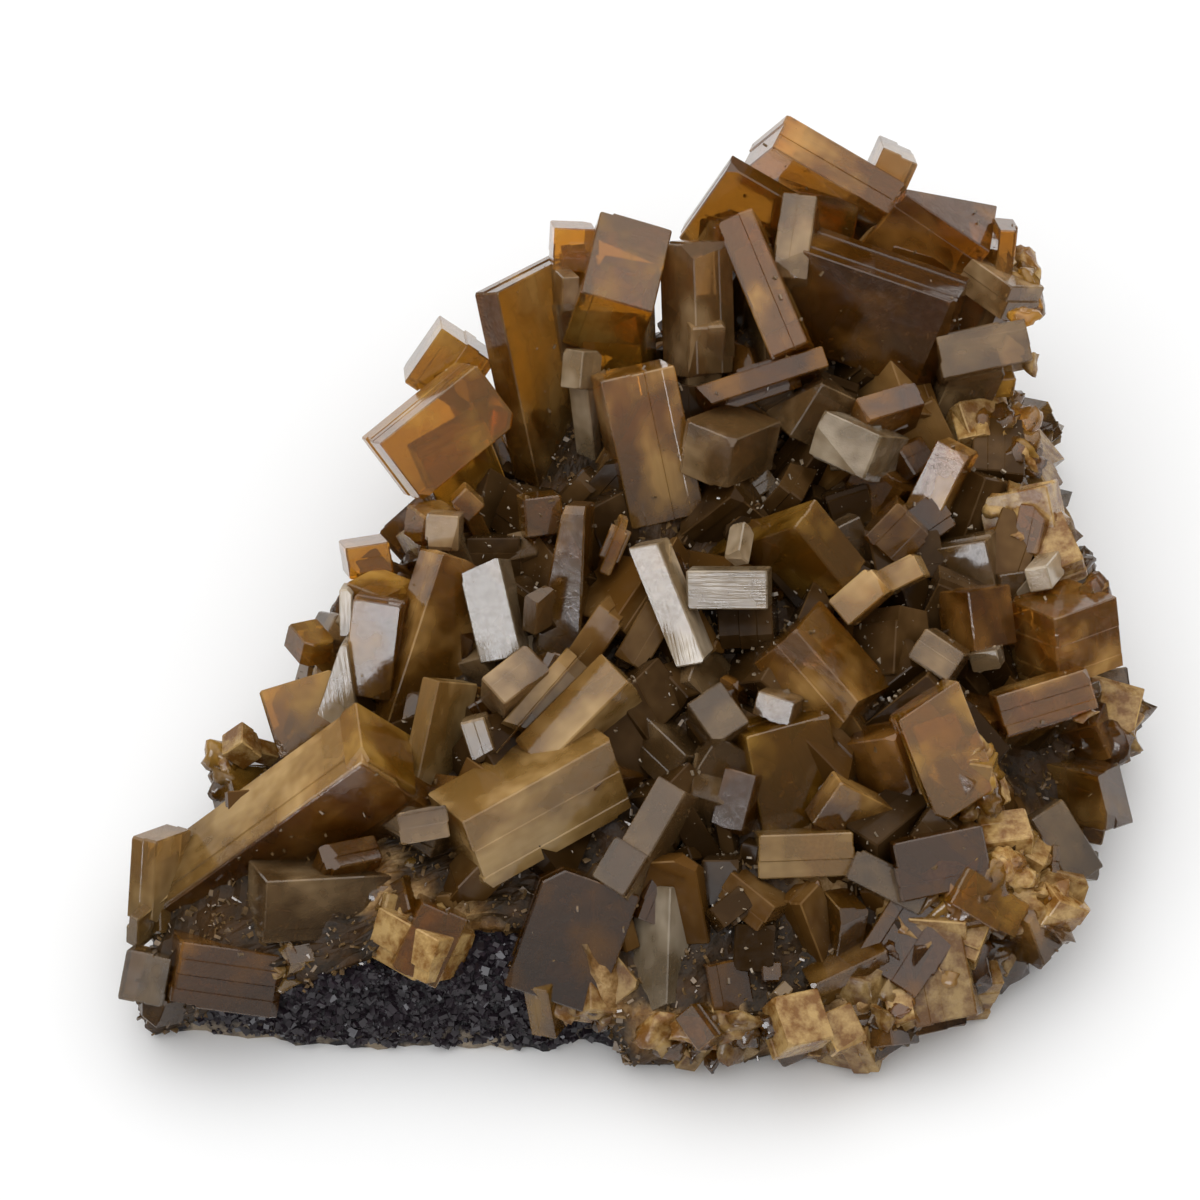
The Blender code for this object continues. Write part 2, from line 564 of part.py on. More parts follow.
def evaluated_mesh(thing):
    """Copy an object's mesh with its modifiers applied."""
    graph = bpy.context.evaluated_depsgraph_get()
    mesh = bmesh.new()
    mesh.from_mesh(thing.evaluated_get(graph).to_mesh())
    return mesh


def combine(base, other, operation):
    """Fuse a second object into the first, or cut it away, and drop the second."""
    modifier = base.modifiers.new("combine", "BOOLEAN")
    modifier.operation = operation
    modifier.solver = "EXACT"
    modifier.object = other
    mesh = evaluated_mesh(base)
    base.modifiers.remove(modifier)
    mesh.to_mesh(base.data)
    mesh.free()
    bpy.data.objects.remove(other)


def shell_volume(faces):
    """Signed volume of a set of faces, in cubic metres."""
    volume = 0.0
    for face in faces:
        origin = face.verts[0].co
        for left, right in zip(face.verts[1:], face.verts[2:]):
            volume += origin.dot(left.co.cross(right.co)) / 6.0
    return volume


def keep_largest(mesh):
    """Delete every shell but the one with the largest volume."""
    waiting = set(mesh.faces)
    shells = []
    while waiting:
        seed = waiting.pop()
        shell = [seed]
        queue = [seed]
        while queue:
            face = queue.pop()
            for edge in face.edges:
                for other in edge.link_faces:
                    if other in waiting:
                        waiting.discard(other)
                        shell.append(other)
                        queue.append(other)
        shells.append(shell)
    shells.sort(key=shell_volume)
    for shell in shells[:-1]:
        bmesh.ops.delete(mesh, geom=shell, context="FACES")


def clean(thing):
    """Merge stray points, join flat faces and keep one closed shell."""
    mesh = bmesh.new()
    mesh.from_mesh(thing.data)
    keep_largest(mesh)
    bmesh.ops.dissolve_limit(mesh, angle_limit=math.radians(FLAT_WITHIN), verts=mesh.verts,
                             edges=mesh.edges)
    bmesh.ops.triangulate(mesh, faces=mesh.faces)
    mesh.to_mesh(thing.data)
    mesh.free()


def build():
    """Make both pieces."""
    for thing in list(bpy.data.objects):
        bpy.data.objects.remove(thing)

    rock_colour = new_material("dark rock", (0.045, 0.038, 0.045), 0.55)
    barite_colour = new_material("golden barite", (0.36, 0.20, 0.055), 0.25)

    new_object("matrix_rock", rock_solid(), rock_colour)
    cluster = new_object("barite_cluster", crust_solid(), barite_colour)

    measured = [crystal_corners(crystal) for crystal in MEASURED]
    stems = [stem_corners(corners) for corners in measured if not is_rooted(corners)]
    blocks = measured + stems + [under_plate()] + back_crystals() + ground_crystals()
    for corners in blocks:
        combine(cluster, guide(new_object("crystal", block_mesh(corners))), "UNION")
    combine(cluster, guide(new_object("rock_room", rock_solid(GAP))), "DIFFERENCE")
    clean(cluster)


build()
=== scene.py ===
"""The looks of a golden barite plate: honey-brown tabular crystals over a dark rock slab.

Sizes in this file are millimetres, and are turned into metres as each mesh is made. +Z is up, +Y
runs away from the front edge, and the origin is under the middle of the plate.
"""

from __future__ import annotations

import logging
import math
import random
from dataclasses import dataclass, field
from enum import Enum

import bmesh
import bpy
from mathutils import Matrix, Vector, noise
from mathutils.bvhtree import BVHTree

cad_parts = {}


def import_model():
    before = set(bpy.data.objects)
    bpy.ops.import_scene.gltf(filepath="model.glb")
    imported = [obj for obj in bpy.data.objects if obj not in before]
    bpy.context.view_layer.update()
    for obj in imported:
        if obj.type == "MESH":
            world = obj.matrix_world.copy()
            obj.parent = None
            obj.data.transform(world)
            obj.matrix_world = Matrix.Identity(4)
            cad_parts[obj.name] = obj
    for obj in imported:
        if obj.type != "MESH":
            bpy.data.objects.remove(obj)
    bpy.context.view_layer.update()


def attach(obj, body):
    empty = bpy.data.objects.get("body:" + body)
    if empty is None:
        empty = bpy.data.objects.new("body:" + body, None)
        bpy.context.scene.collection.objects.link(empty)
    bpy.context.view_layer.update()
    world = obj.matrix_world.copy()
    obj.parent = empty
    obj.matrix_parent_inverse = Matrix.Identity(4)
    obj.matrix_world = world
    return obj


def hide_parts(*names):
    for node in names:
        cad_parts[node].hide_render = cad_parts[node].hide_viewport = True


LOG = logging.getLogger("barite")

MM = 0.001
SEED = 20
BODY = "root"
ROCK_NODE = "matrix_rock"
CLUSTER_NODE = "barite_cluster"

Colour = tuple[float, float, float]
Pair = tuple[float, float]
Triple = tuple[float, float, float]


class Finish(Enum):
    """The sorts of barite on the plate, by how they look."""

    HONEY = "honey"
    AMBER = "amber"
    UMBER = "umber"
    SMOKE = "smoke"
    PEARL = "pearl"
    CREAM = "cream"
    PEACH = "peach"
    LOAM = "loam"
    DUSK = "dusk"


@dataclass(frozen=True)
class MeasuringView:
    """The view that the crystals were measured in: along +Y and down, from far off."""

    rise: float = 55.0
    distance: float = 350.0
    aim: Triple = (-3.2, 0.0, 15.0)
    lens: float = 105.0
    sensor: float = 36.0

    def axes(self) -> tuple[Vector, Vector, Vector]:
        """Give the view's right, up and towards-the-viewer directions.

        Returns:
            Three unit vectors.
        """
        rise = math.radians(self.rise)
        right = Vector((1.0, 0.0, 0.0))
        up = Vector((0.0, math.sin(rise), math.cos(rise)))
        return right, up, right.cross(up)

    def eye(self) -> Vector:
        """Give the viewer's place, mm."""
        return Vector(self.aim) + self.axes()[2] * self.distance

    def sight(self, across: float, above: float, height: float) -> tuple[Vector, Vector, Vector, Vector]:
        """Follow a line of sight down to a height.

        Args:
            across: distance right of the view's middle, mm.
            above: distance above the view's middle, mm.
            height: height over the table, mm.

        Returns:
            The point, and the view's side, up and towards directions there.
        """
        right, up, _ = self.axes()
        eye = self.eye()
        ray = (Vector(self.aim) + right * across + up * above - eye).normalized()
        point = eye + ray * ((height - eye.z) / ray.z)
        side = (right - ray * right.dot(ray)).normalized()
        return point, side, (-ray).cross(side), -ray

    def seen_at(self, point: Vector) -> Pair:
        """Tell where a point shows, right of and above the view's middle, mm.

        Args:
            point: a place in space, mm.

        Returns:
            The two distances.
        """
        right, up, towards = self.axes()
        away = point - self.eye()
        scale = self.distance / -away.dot(towards)
        return away.dot(right) * scale, away.dot(up) * scale


VIEW = MeasuringView()


def bumps(x: float, y: float, z: float, scale: float) -> float:
    """Give smooth lumps between -1 and 1.

    Args:
        x: place along X, mm.
        y: place along Y, mm.
        z: place along Z, mm.
        scale: the lumps' size, mm.

    Returns:
        The lump's height there.
    """
    return noise.noise(Vector((x, y, z)) / scale + Vector((7.3, 1.9, 4.1)))


@dataclass(frozen=True)
class Plate:
    """The plate's plan and the heights of its rock and crust."""

    centre: Pair = (2.0, -8.0)
    plan: tuple[Pair, ...] = (
        (-46.5, -41.0), (-33.0, -43.4), (-12.0, -44.0), (8.0, -43.4), (22.0, -42.6),
        (34.0, -35.5), (41.5, -25.0), (44.5, -12.0), (43.5, 4.0), (40.5, 22.0), (37.0, 35.0),
        (28.0, 42.0), (15.0, 41.0), (3.0, 34.0), (-8.0, 27.0), (-15.0, 18.0), (-21.0, 8.0),
        (-30.0, -6.0), (-38.5, -20.0), (-45.0, -29.0),
    )
    rock_front: float = 9.5
    rock_back: float = 15.5
    rock_bump: float = 0.8
    bare_slope: float = 3.0
    edge_fall: float = 5.0
    crust: float = 2.4
    mound: float = 1.6
    thins: float = 1.2
    crust_bump: float = 0.9
    skirt: float = 1.6
    lowest: float = 0.6
    summit_place: Pair = (20.0, 35.0)
    summit_width: float = 11.0
    summit_rise: float = 7.0
    bare_step: float = 4.0
    bare_deep: float = 4.5
    bare_peak: float = -19.0
    bare_wide: float = 8.0
    ragged: float = 2.4

    def radius(self, angle: float) -> float:
        """Measure from the plan's centre to its outline.

        Args:
            angle: direction, radians.

        Returns:
            The distance, mm.
        """
        ray = Vector((math.cos(angle), math.sin(angle)))
        points = [Vector(point) - Vector(self.centre) for point in self.plan]
        best = 0.0
        for start, end in zip(points, points[1:] + points[:1]):
            edge = end - start
            cross = ray.x * edge.y - ray.y * edge.x
            if abs(cross) < 1e-9:
                continue
            reach = (start.x * edge.y - start.y * edge.x) / cross
            share = (start.x * ray.y - start.y * ray.x) / cross
            if reach > 0.0 and -1e-9 <= share <= 1.0 + 1e-9:
                best = max(best, reach)
        return best

    def at(self, angle: float, radius: float) -> Pair:
        """Give the place at a direction and distance from the plan's centre, mm."""
        return self.centre[0] + radius * math.cos(angle), self.centre[1] + radius * math.sin(angle)

    def place(self, x: float, y: float) -> Pair:
        """Tell a place's direction and its share of the way to the outline.

        Args:
            x: place along X, mm.
            y: place along Y, mm.

        Returns:
            The angle in radians, and the share.
        """
        away = Vector((x, y)) - Vector(self.centre)
        angle = math.atan2(away.y, away.x)
        return angle, away.length / self.radius(angle)

    def bare(self, angle: float) -> float:
        """Tell how bare the rock's side is in one direction: 1 along the front left, else 0."""
        degrees = math.degrees(angle) % 360.0
        rise = min(max((degrees - 214.0) / 8.0, 0.0), 1.0)
        fall = min(max((266.0 - degrees) / 8.0, 0.0), 1.0)
        return min(rise, fall)

    def crust_inset(self, angle: float, outline: float) -> float:
        """Tell how far the crust's rim stands back from the outline along the bare front.

        Args:
            angle: direction, radians.
            outline: the plan's radius in that direction, mm.

        Returns:
            The distance, mm.
        """
        x, y = self.at(angle, outline)
        peak = self.bare_deep * math.exp(-((x - self.bare_peak) / self.bare_wide) ** 2)
        ragged = self.ragged * (0.5 - bumps(x, y, 0.0, 5.0))
        return self.bare(angle) * (self.bare_step + peak + ragged)

    def on_crust(self, x: float, y: float, margin: float) -> bool:
        """Tell whether a place lies inside the crust's rim by a margin, mm."""
        away = Vector((x, y)) - Vector(self.centre)
        angle = math.atan2(away.y, away.x)
        outline = self.radius(angle)
        return away.length < outline - self.crust_inset(angle, outline) - margin

    def rock_top(self, x: float, y: float) -> float:
        """Give the height of the rock's upper side, mm."""
        angle, share = self.place(x, y)
        back = min(max((y + 44.0) / 80.0, 0.0), 1.0)
        swell = self.rock_bump * bumps(x, y, 0.0, 9.0)
        fall = self.edge_fall * (1.0 - self.bare(angle)) * min(share, 1.0) ** 4
        return self.rock_front + (self.rock_back - self.rock_front) * back + swell - fall

    def crust_top(self, x: float, y: float) -> float:
        """Give the height of the crust between the crystals, mm."""
        angle, share = self.place(x, y)
        mound = self.mound * max(0.0, 1.0 - share ** 3)
        mound -= self.thins * self.bare(angle) * min(share, 1.0) ** 4
        lumps = bumps(x, y, 3.0, 6.0) + 0.5 * bumps(x, y, 9.0, 2.6)
        away = (Vector((x, y)) - Vector(self.summit_place)).length / self.summit_width
        summit = self.summit_rise * math.exp(-away * away)
        return self.rock_top(x, y) + self.crust + mound + summit + self.crust_bump * lumps

    def holds(self, x: float, y: float, margin: float) -> bool:
        """Tell whether a place lies inside the outline by a margin, mm."""
        away = Vector((x, y)) - Vector(self.centre)
        return away.length < self.radius(math.atan2(away.y, away.x)) - margin


PLATE = Plate()


@dataclass(frozen=True)
class Crystal:
    """One block-shaped crystal, given by its nearest corner and the three edges that meet there.

    near is the corner's place right of and above the view's middle, height its height over the
    table, edges the picture angles of the edges in degrees, size their lengths. taper is the
    share of the second edge left at the near corner, lean its lean from square, in degrees.
    """

    name: str
    near: Pair
    height: float
    edges: Triple
    size: Triple
    finish: Finish
    taper: float = 1.0
    lean: float = 0.0

    def directions(self) -> tuple[Vector, list[Vector]]:
        """Work out the near corner and the directions of the three square edges.

        Returns:
            The corner, mm, and three unit vectors.
        """
        near, side, up, towards = VIEW.sight(*self.near, self.height)
        first, second, third = (math.radians(angle) for angle in self.edges)
        c12 = math.cos(first - second)
        c13 = math.cos(first - third)
        c23 = math.cos(second - third)
        depth = -math.sqrt(max(-c12 * c13 / c23, 1e-6))
        found = []
        for angle, deep in zip((first, second, third), (depth, -c12 / depth, -c13 / depth)):
            way = side * math.cos(angle) + up * math.sin(angle) + towards * deep
            found.append(way.normalized())
        found[1] = Matrix.Rotation(math.radians(-self.lean), 3, found[1].cross(found[0])) @ found[1]
        return near, found

    def corners(self) -> list[Vector]:
        """Give the eight corners, nearest first, mm."""
        near, ways = self.directions()
        a, b, c = (way * length for way, length in zip(ways, self.size))
        short_b = b * self.taper
        return [near, near + a, near + a + b, near + short_b,
                near + c, near + a + c, near + a + b + c, near + short_b + c]


HONEY, AMBER, UMBER = Finish.HONEY, Finish.AMBER, Finish.UMBER
SMOKE, PEARL, CREAM = Finish.SMOKE, Finish.PEARL, Finish.CREAM
PEACH, LOAM, DUSK = Finish.PEACH, Finish.LOAM, Finish.DUSK

SUMMIT = (
    Crystal("summit_block", (17.1, 45.4), 36.0, (-30, 63, 219), (14.5, 4.0, 13.0), HONEY),
    Crystal("summit_left_plate", (12.9, 43.4), 34.0, (235, 70, -30), (11.5, 2.5, 9.0), HONEY),
    Crystal("long_blade", (20.8, 25.7), 29.0, (113, 204, -50), (15.5, 4.2, 6.0), HONEY),
    Crystal("mauve_bar", (20.6, 32.5), 31.0, (82, 175, 275), (9.6, 3.6, 7.0), SMOKE),
    Crystal("front_plate", (35.7, 29.8), 31.0, (161, 57, 254), (16.8, 6.6, 11.0), UMBER),
    Crystal("back_cube", (28.4, 45.3), 33.0, (-23, 110, 246), (4.0, 8.0, 8.0), SMOKE),
    Crystal("ridge_block", (30.5, 40.6), 33.0, (-34, 79, 230), (10.9, 10.0, 9.0), UMBER, taper=0.12),
    Crystal("step_crystal", (40.0, 37.0), 30.0, (-3, 120, 265), (2.2, 6.0, 7.0), HONEY),
    Crystal("beak_prism", (41.3, 31.2), 28.0, (145, -1, 246), (8.0, 6.0, 4.0), SMOKE),
    Crystal("east_grey_plate", (34.3, 22.1), 25.0, (12, 103, 240), (9.6, 4.8, 6.0), SMOKE),
    Crystal("tall_block", (-1.9, 30.9), 31.5, (76, -16, 250), (10.8, 7.6, 10.0), AMBER),
    Crystal("grey_column", (9.4, 35.7), 33.0, (272, 177, 5), (14.0, 6.0, 5.0), SMOKE),
    Crystal("great_west_plate", (-10.4, 31.0), 31.0, (282, 27, 185), (21.5, 17.0, 2.8), HONEY),
    Crystal("back_block", (-4.7, 37.2), 30.0, (-2, 120, 267), (4.6, 5.0, 4.5), AMBER),
    Crystal("lavender_chip", (-3.7, 32.3), 28.5, (269, 3, 135), (4.5, 1.8, 5.0), SMOKE),
    Crystal("bright_chip", (-1.7, 25.0), 27.0, (265, 172, 0), (4.2, 2.6, 3.5), PEARL),
)

WEST_WING = (
    Crystal("wing_lower", (-22.2, 15.7), 26.0, (307, 162, 39), (7.8, 7.4, 13.0), AMBER),
    Crystal("wing_upper", (-15.7, 27.3), 26.0, (235, -34, 100), (7.0, 6.5, 8.0), AMBER),
    Crystal("wing_grey", (-13.7, 22.0), 25.5, (278, 19, 150), (2.6, 2.3, 4.0), SMOKE),
    Crystal("wing_kite", (-13.5, 11.3), 23.5, (-43, 226, 100), (2.8, 2.4, 4.0), HONEY),
    Crystal("wing_foot", (-17.5, 8.3), 23.0, (146, 10, 260), (3.2, 4.5, 3.5), HONEY),
    Crystal("grey_square", (-14.1, 8.4), 24.5, (267, 176, 45), (3.7, 3.3, 4.5), SMOKE),
    Crystal("gold_cube", (-25.6, 5.1), 22.0, (278, 9, 130), (3.2, 4.6, 6.0), AMBER),
    Crystal("olive_block", (-7.9, 10.0), 24.5, (276, 7, 140), (4.0, 4.2, 5.0), HONEY),
    Crystal("west_stack", (-21.6, 0.2), 22.5, (158, 28, 270), (5.0, 5.0, 5.0), AMBER),
    Crystal("west_plate", (-19.6, -0.5), 24.0, (263, 171, 50), (10.0, 5.2, 5.0), HONEY),
    Crystal("white_slat", (-24.8, 1.0), 22.0, (270, 178, 60), (5.0, 1.3, 3.0), PEARL),
    Crystal("silver_wedge", (-25.3, -4.5), 21.5, (278, 186, 60), (7.8, 4.5, 4.0), PEARL, taper=0.15),
    Crystal("brown_plate", (-15.7, 4.8), 26.5, (252, 155, -15), (18.5, 4.3, 9.0), HONEY),
    Crystal("west_block", (-34.2, -9.0), 18.0, (287, 17, 120), (7.2, 7.6, 7.0), AMBER),
    Crystal("west_block_head", (-29.2, -4.7), 19.0, (257, 12, 130), (2.8, 3.4, 4.0), AMBER),
    Crystal("west_tooth", (-35.8, -14.2), 14.5, (-35, 215, 90), (3.0, 3.0, 3.0), CREAM),
)

CENTRE = (
    Crystal("window_block", (0.1, 21.9), 29.0, (282, 13, 150), (15.5, 7.6, 8.0), HONEY),
    Crystal("grey_rhomb", (13.3, 15.9), 28.0, (260, 158, 22), (5.6, 6.3, 9.0), SMOKE),
    Crystal("dark_blade", (10.0, 19.2), 26.0, (18, 109, 240), (14.0, 2.2, 6.0), UMBER),
    Crystal("white_rhomb", (28.3, 16.3), 27.5, (248, 156, -4), (5.0, 7.1, 9.0), PEARL),
    Crystal("dark_block", (26.8, 18.0), 25.0, (17, 120, 250), (7.0, 3.0, 6.0), UMBER),
    Crystal("olive_edge_block", (22.2, 21.8), 27.5, (238, -25, 140), (6.6, 6.0, 5.0), SMOKE),
    Crystal("tall_column", (-1.5, 9.5), 26.5, (268, 177, 30), (15.5, 4.8, 6.0), HONEY, taper=0.45),
    Crystal("white_plate", (5.7, 5.7), 27.5, (292, 201, 30), (12.8, 3.4, 4.0), PEARL, lean=10.0),
    Crystal("striated_bar", (16.7, 2.9), 26.5, (180, 271, 45), (8.0, 3.8, 4.0), PEARL),
    Crystal("light_chip", (13.8, 4.4), 25.0, (-38, 190, 80), (2.0, 1.8, 4.0), PEARL),
    Crystal("roof_block", (19.5, 7.5), 28.0, (199, 53, -51), (14.7, 4.4, 8.8), AMBER),
    Crystal("green_sliver", (2.2, 8.2), 24.5, (247, 338, 110), (6.0, 1.2, 3.5), HONEY),
    Crystal("striated_light", (-10.2, 4.6), 26.5, (283, 191, 40), (10.5, 4.3, 4.5), PEARL),
    Crystal("cream_column", (-16.2, -7.8), 24.5, (258, -5, 165), (12.5, 7.5, 2.0), PEACH),
    Crystal("grey_wedge_lath", (-11.7, -11.6), 23.0, (288, 196, 60), (4.5, 2.5, 3.0), SMOKE),
    Crystal("grey_top_rhomb", (-9.7, -10.5), 23.5, (132, 38, 265), (3.5, 6.0, 6.0), SMOKE),
    Crystal("upper_plank", (0.3, -3.2), 26.0, (229, 140, -30), (16.0, 3.2, 5.0), PEACH, lean=-10.0),
    Crystal("lower_plank", (3.0, -8.0), 25.5, (225, 134, -40), (12.0, 4.2, 8.0), PEACH),
    Crystal("front_beige_block", (-13.7, -22.4), 23.0, (29, 141, 290), (17.0, 8.0, 8.0), PEACH),
    Crystal("slat_chip", (-6.3, 0.2), 25.0, (266, 157, 30), (4.5, 1.7, 3.0), SMOKE),
    Crystal("centre_block", (-0.3, -18.2), 20.5, (243, 8, 140), (8.5, 8.0, 6.0), UMBER),
    Crystal("centre_tooth", (11.5, -14.4), 22.0, (125, 33, 260), (5.0, 4.0, 6.0), SMOKE),
)

EAST = (
    Crystal("line_block", (19.5, -3.0), 26.0, (311, 218, 50), (11.6, 6.0, 8.0), HONEY),
    Crystal("honey_slab", (36.8, 14.3), 25.5, (244, 152, 20), (8.2, 3.6, 5.0), HONEY),
    Crystal("honey_foot", (29.8, 9.7), 24.5, (-43, 226, 100), (4.8, 5.0, 5.0), HONEY),
    Crystal("pale_slab", (29.0, 1.0), 24.5, (221, 130, -5), (5.6, 3.2, 4.0), PEACH),
    Crystal("pale_step", (32.5, 2.5), 24.0, (207, 116, 0), (4.6, 2.6, 4.0), PEACH),
    Crystal("east_tile", (36.5, -5.5), 23.5, (146, 237, 10), (4.8, 3.4, 5.0), SMOKE),
    Crystal("east_tile_small", (39.7, -5.0), 22.0, (190, 281, 55), (3.0, 1.9, 5.0), PEARL),
    Crystal("middle_tile", (19.5, -10.3), 23.0, (162, 255, 30), (4.0, 2.7, 5.0), SMOKE),
    Crystal("orange_plate", (29.7, -12.0), 24.0, (291, 22, 155), (11.0, 7.2, 6.0), AMBER, lean=12.0),
    Crystal("east_block", (45.3, -2.0), 23.5, (276, 20, 158), (7.6, 8.0, 8.3), HONEY),
    Crystal("striated_chip", (44.6, 3.5), 22.5, (285, 190, 50), (2.6, 2.4, 5.0), PEARL),
    Crystal("mauve_long_block", (39.5, -9.7), 21.0, (17, 286, 150), (9.5, 4.4, 6.0), HONEY),
    Crystal("dark_pair", (36.8, 1.0), 24.0, (277, 180, 10), (6.2, 6.0, 5.0), UMBER),
    Crystal("far_east_block", (51.2, -17.7), 14.0, (166, 18, 265), (10.0, 5.2, 5.8), HONEY),
    Crystal("honey_face", (14.5, -13.5), 22.0, (280, 15, 150), (10.5, 9.0, 7.0), AMBER),
    Crystal("edged_lath", (15.7, -17.5), 20.5, (255, 163, 10), (6.4, 3.6, 5.0), UMBER),
    Crystal("luminous_bar", (15.6, -23.6), 17.5, (2, 271, 130), (9.6, 4.2, 5.0), PEACH),
    Crystal("dark_step", (29.5, -13.7), 21.0, (290, 188, 50), (7.0, 6.0, 5.0), UMBER),
    Crystal("olive_step", (24.0, -18.2), 20.0, (-27, 124, 235), (7.2, 3.0, 5.0), HONEY),
    Crystal("brown_face", (29.0, -24.5), 18.0, (12, 281, 145), (9.2, 5.6, 7.0), UMBER),
    Crystal("grey_long_tile", (24.4, -27.6), 15.5, (-27, 64, 200), (8.4, 3.2, 5.0), SMOKE),
    Crystal("mauve_shard", (43.0, -21.8), 14.0, (-59, 35, 190), (8.0, 4.0, 4.5), SMOKE),
    Crystal("edge_chip", (47.8, -23.8), 9.5, (255, 175, 30), (2.8, 2.4, 3.0), PEARL),
)

FRONT = (
    Crystal("great_bar", (-23.8, -15.9), 26.0, (216, 98, -31), (29.0, 7.4, 8.0), PEACH),
    Crystal("far_west_plate", (-44.5, -24.1), 15.0, (267, 164, 20), (8.8, 3.0, 6.0), PEACH),
    Crystal("far_west_slat", (-46.3, -32.0), 10.5, (269, 150, 40), (4.6, 1.5, 6.0), PEACH),
    Crystal("far_west_block", (-42.8, -35.8), 11.0, (260, 169, 40), (5.0, 4.4, 5.0), SMOKE),
    Crystal("far_west_tip", (-43.4, -40.3), 8.5, (249, 141, 10), (3.0, 4.0, 4.0), AMBER),
    Crystal("mauve_front_block", (-33.5, -28.2), 18.0, (3, 268, 130), (16.0, 6.2, 7.0), SMOKE),
    Crystal("brown_ledge", (-42.0, -34.2), 14.5, (-8, 261, 125), (10.5, 6.0, 9.0), UMBER),
    Crystal("brown_front_block", (-5.2, -26.2), 18.0, (250, -19, 120), (12.5, 9.6, 7.0), UMBER),
    Crystal("front_column", (6.9, -28.5), 16.0, (268, 175, 3), (13.8, 4.4, 5.0), PEARL),
    Crystal("grey_plank", (8.6, -19.2), 21.5, (240, 149, -25), (12.0, 3.4, 5.0), SMOKE),
    Crystal("grey_tile", (5.0, -25.7), 18.5, (239, 148, -20), (4.6, 4.2, 4.0), SMOKE),
    Crystal("lilac_hinge", (8.7, -28.0), 17.0, (160, -16, 270), (6.0, 3.4, 2.5), PEARL),
    Crystal("tan_block", (21.0, -38.8), 10.0, (120, 25, 290), (6.8, 8.2, 6.0), HONEY),
    Crystal("dark_gold_plate", (10.6, -36.5), 11.5, (280, 12, 145), (6.0, 4.0, 5.0), UMBER),
    Crystal("gold_foot", (9.2, -39.3), 8.5, (275, 8, 140), (4.2, 3.0, 4.0), AMBER),
    Crystal("shard_left", (-20.0, -24.5), 17.5, (10, 100, 285), (5.0, 3.0, 5.0), SMOKE),
)

MEASURED = SUMMIT + WEST_WING + CENTRE + EAST + FRONT


BLOCK_FACES = ((0, 3, 2, 1), (4, 5, 6, 7), (0, 1, 5, 4), (1, 2, 6, 5), (2, 3, 7, 6), (3, 0, 4, 7))


@dataclass(frozen=True)
class Block:
    """Eight corners of a crystal, its finish, and whether a line of sight measured it."""

    corners: tuple[Vector, ...]
    finish: Finish
    dusty: float = 0.25
    measured: bool = False
    broken: bool = False


def block_corners(foot: Vector, along: Vector, across: Vector, size: Triple) -> list[Vector]:
    """Give the corners of a block that stands on a foot point.

    Args:
        foot: middle of the block's foot, mm.
        along: direction of its length.
        across: rough direction of its width.
        size: length, width and thickness, mm.

    Returns:
        Eight corners.
    """
    along = along.normalized()
    across = (across - along * across.dot(along)).normalized()
    b = across * size[1]
    c = along.cross(across) * size[2]
    start = foot - b / 2.0 - c / 2.0
    tip = along * size[0]
    return [start + tip, start, start + b, start + tip + b,
            start + tip + c, start + c, start + b + c, start + tip + b + c]


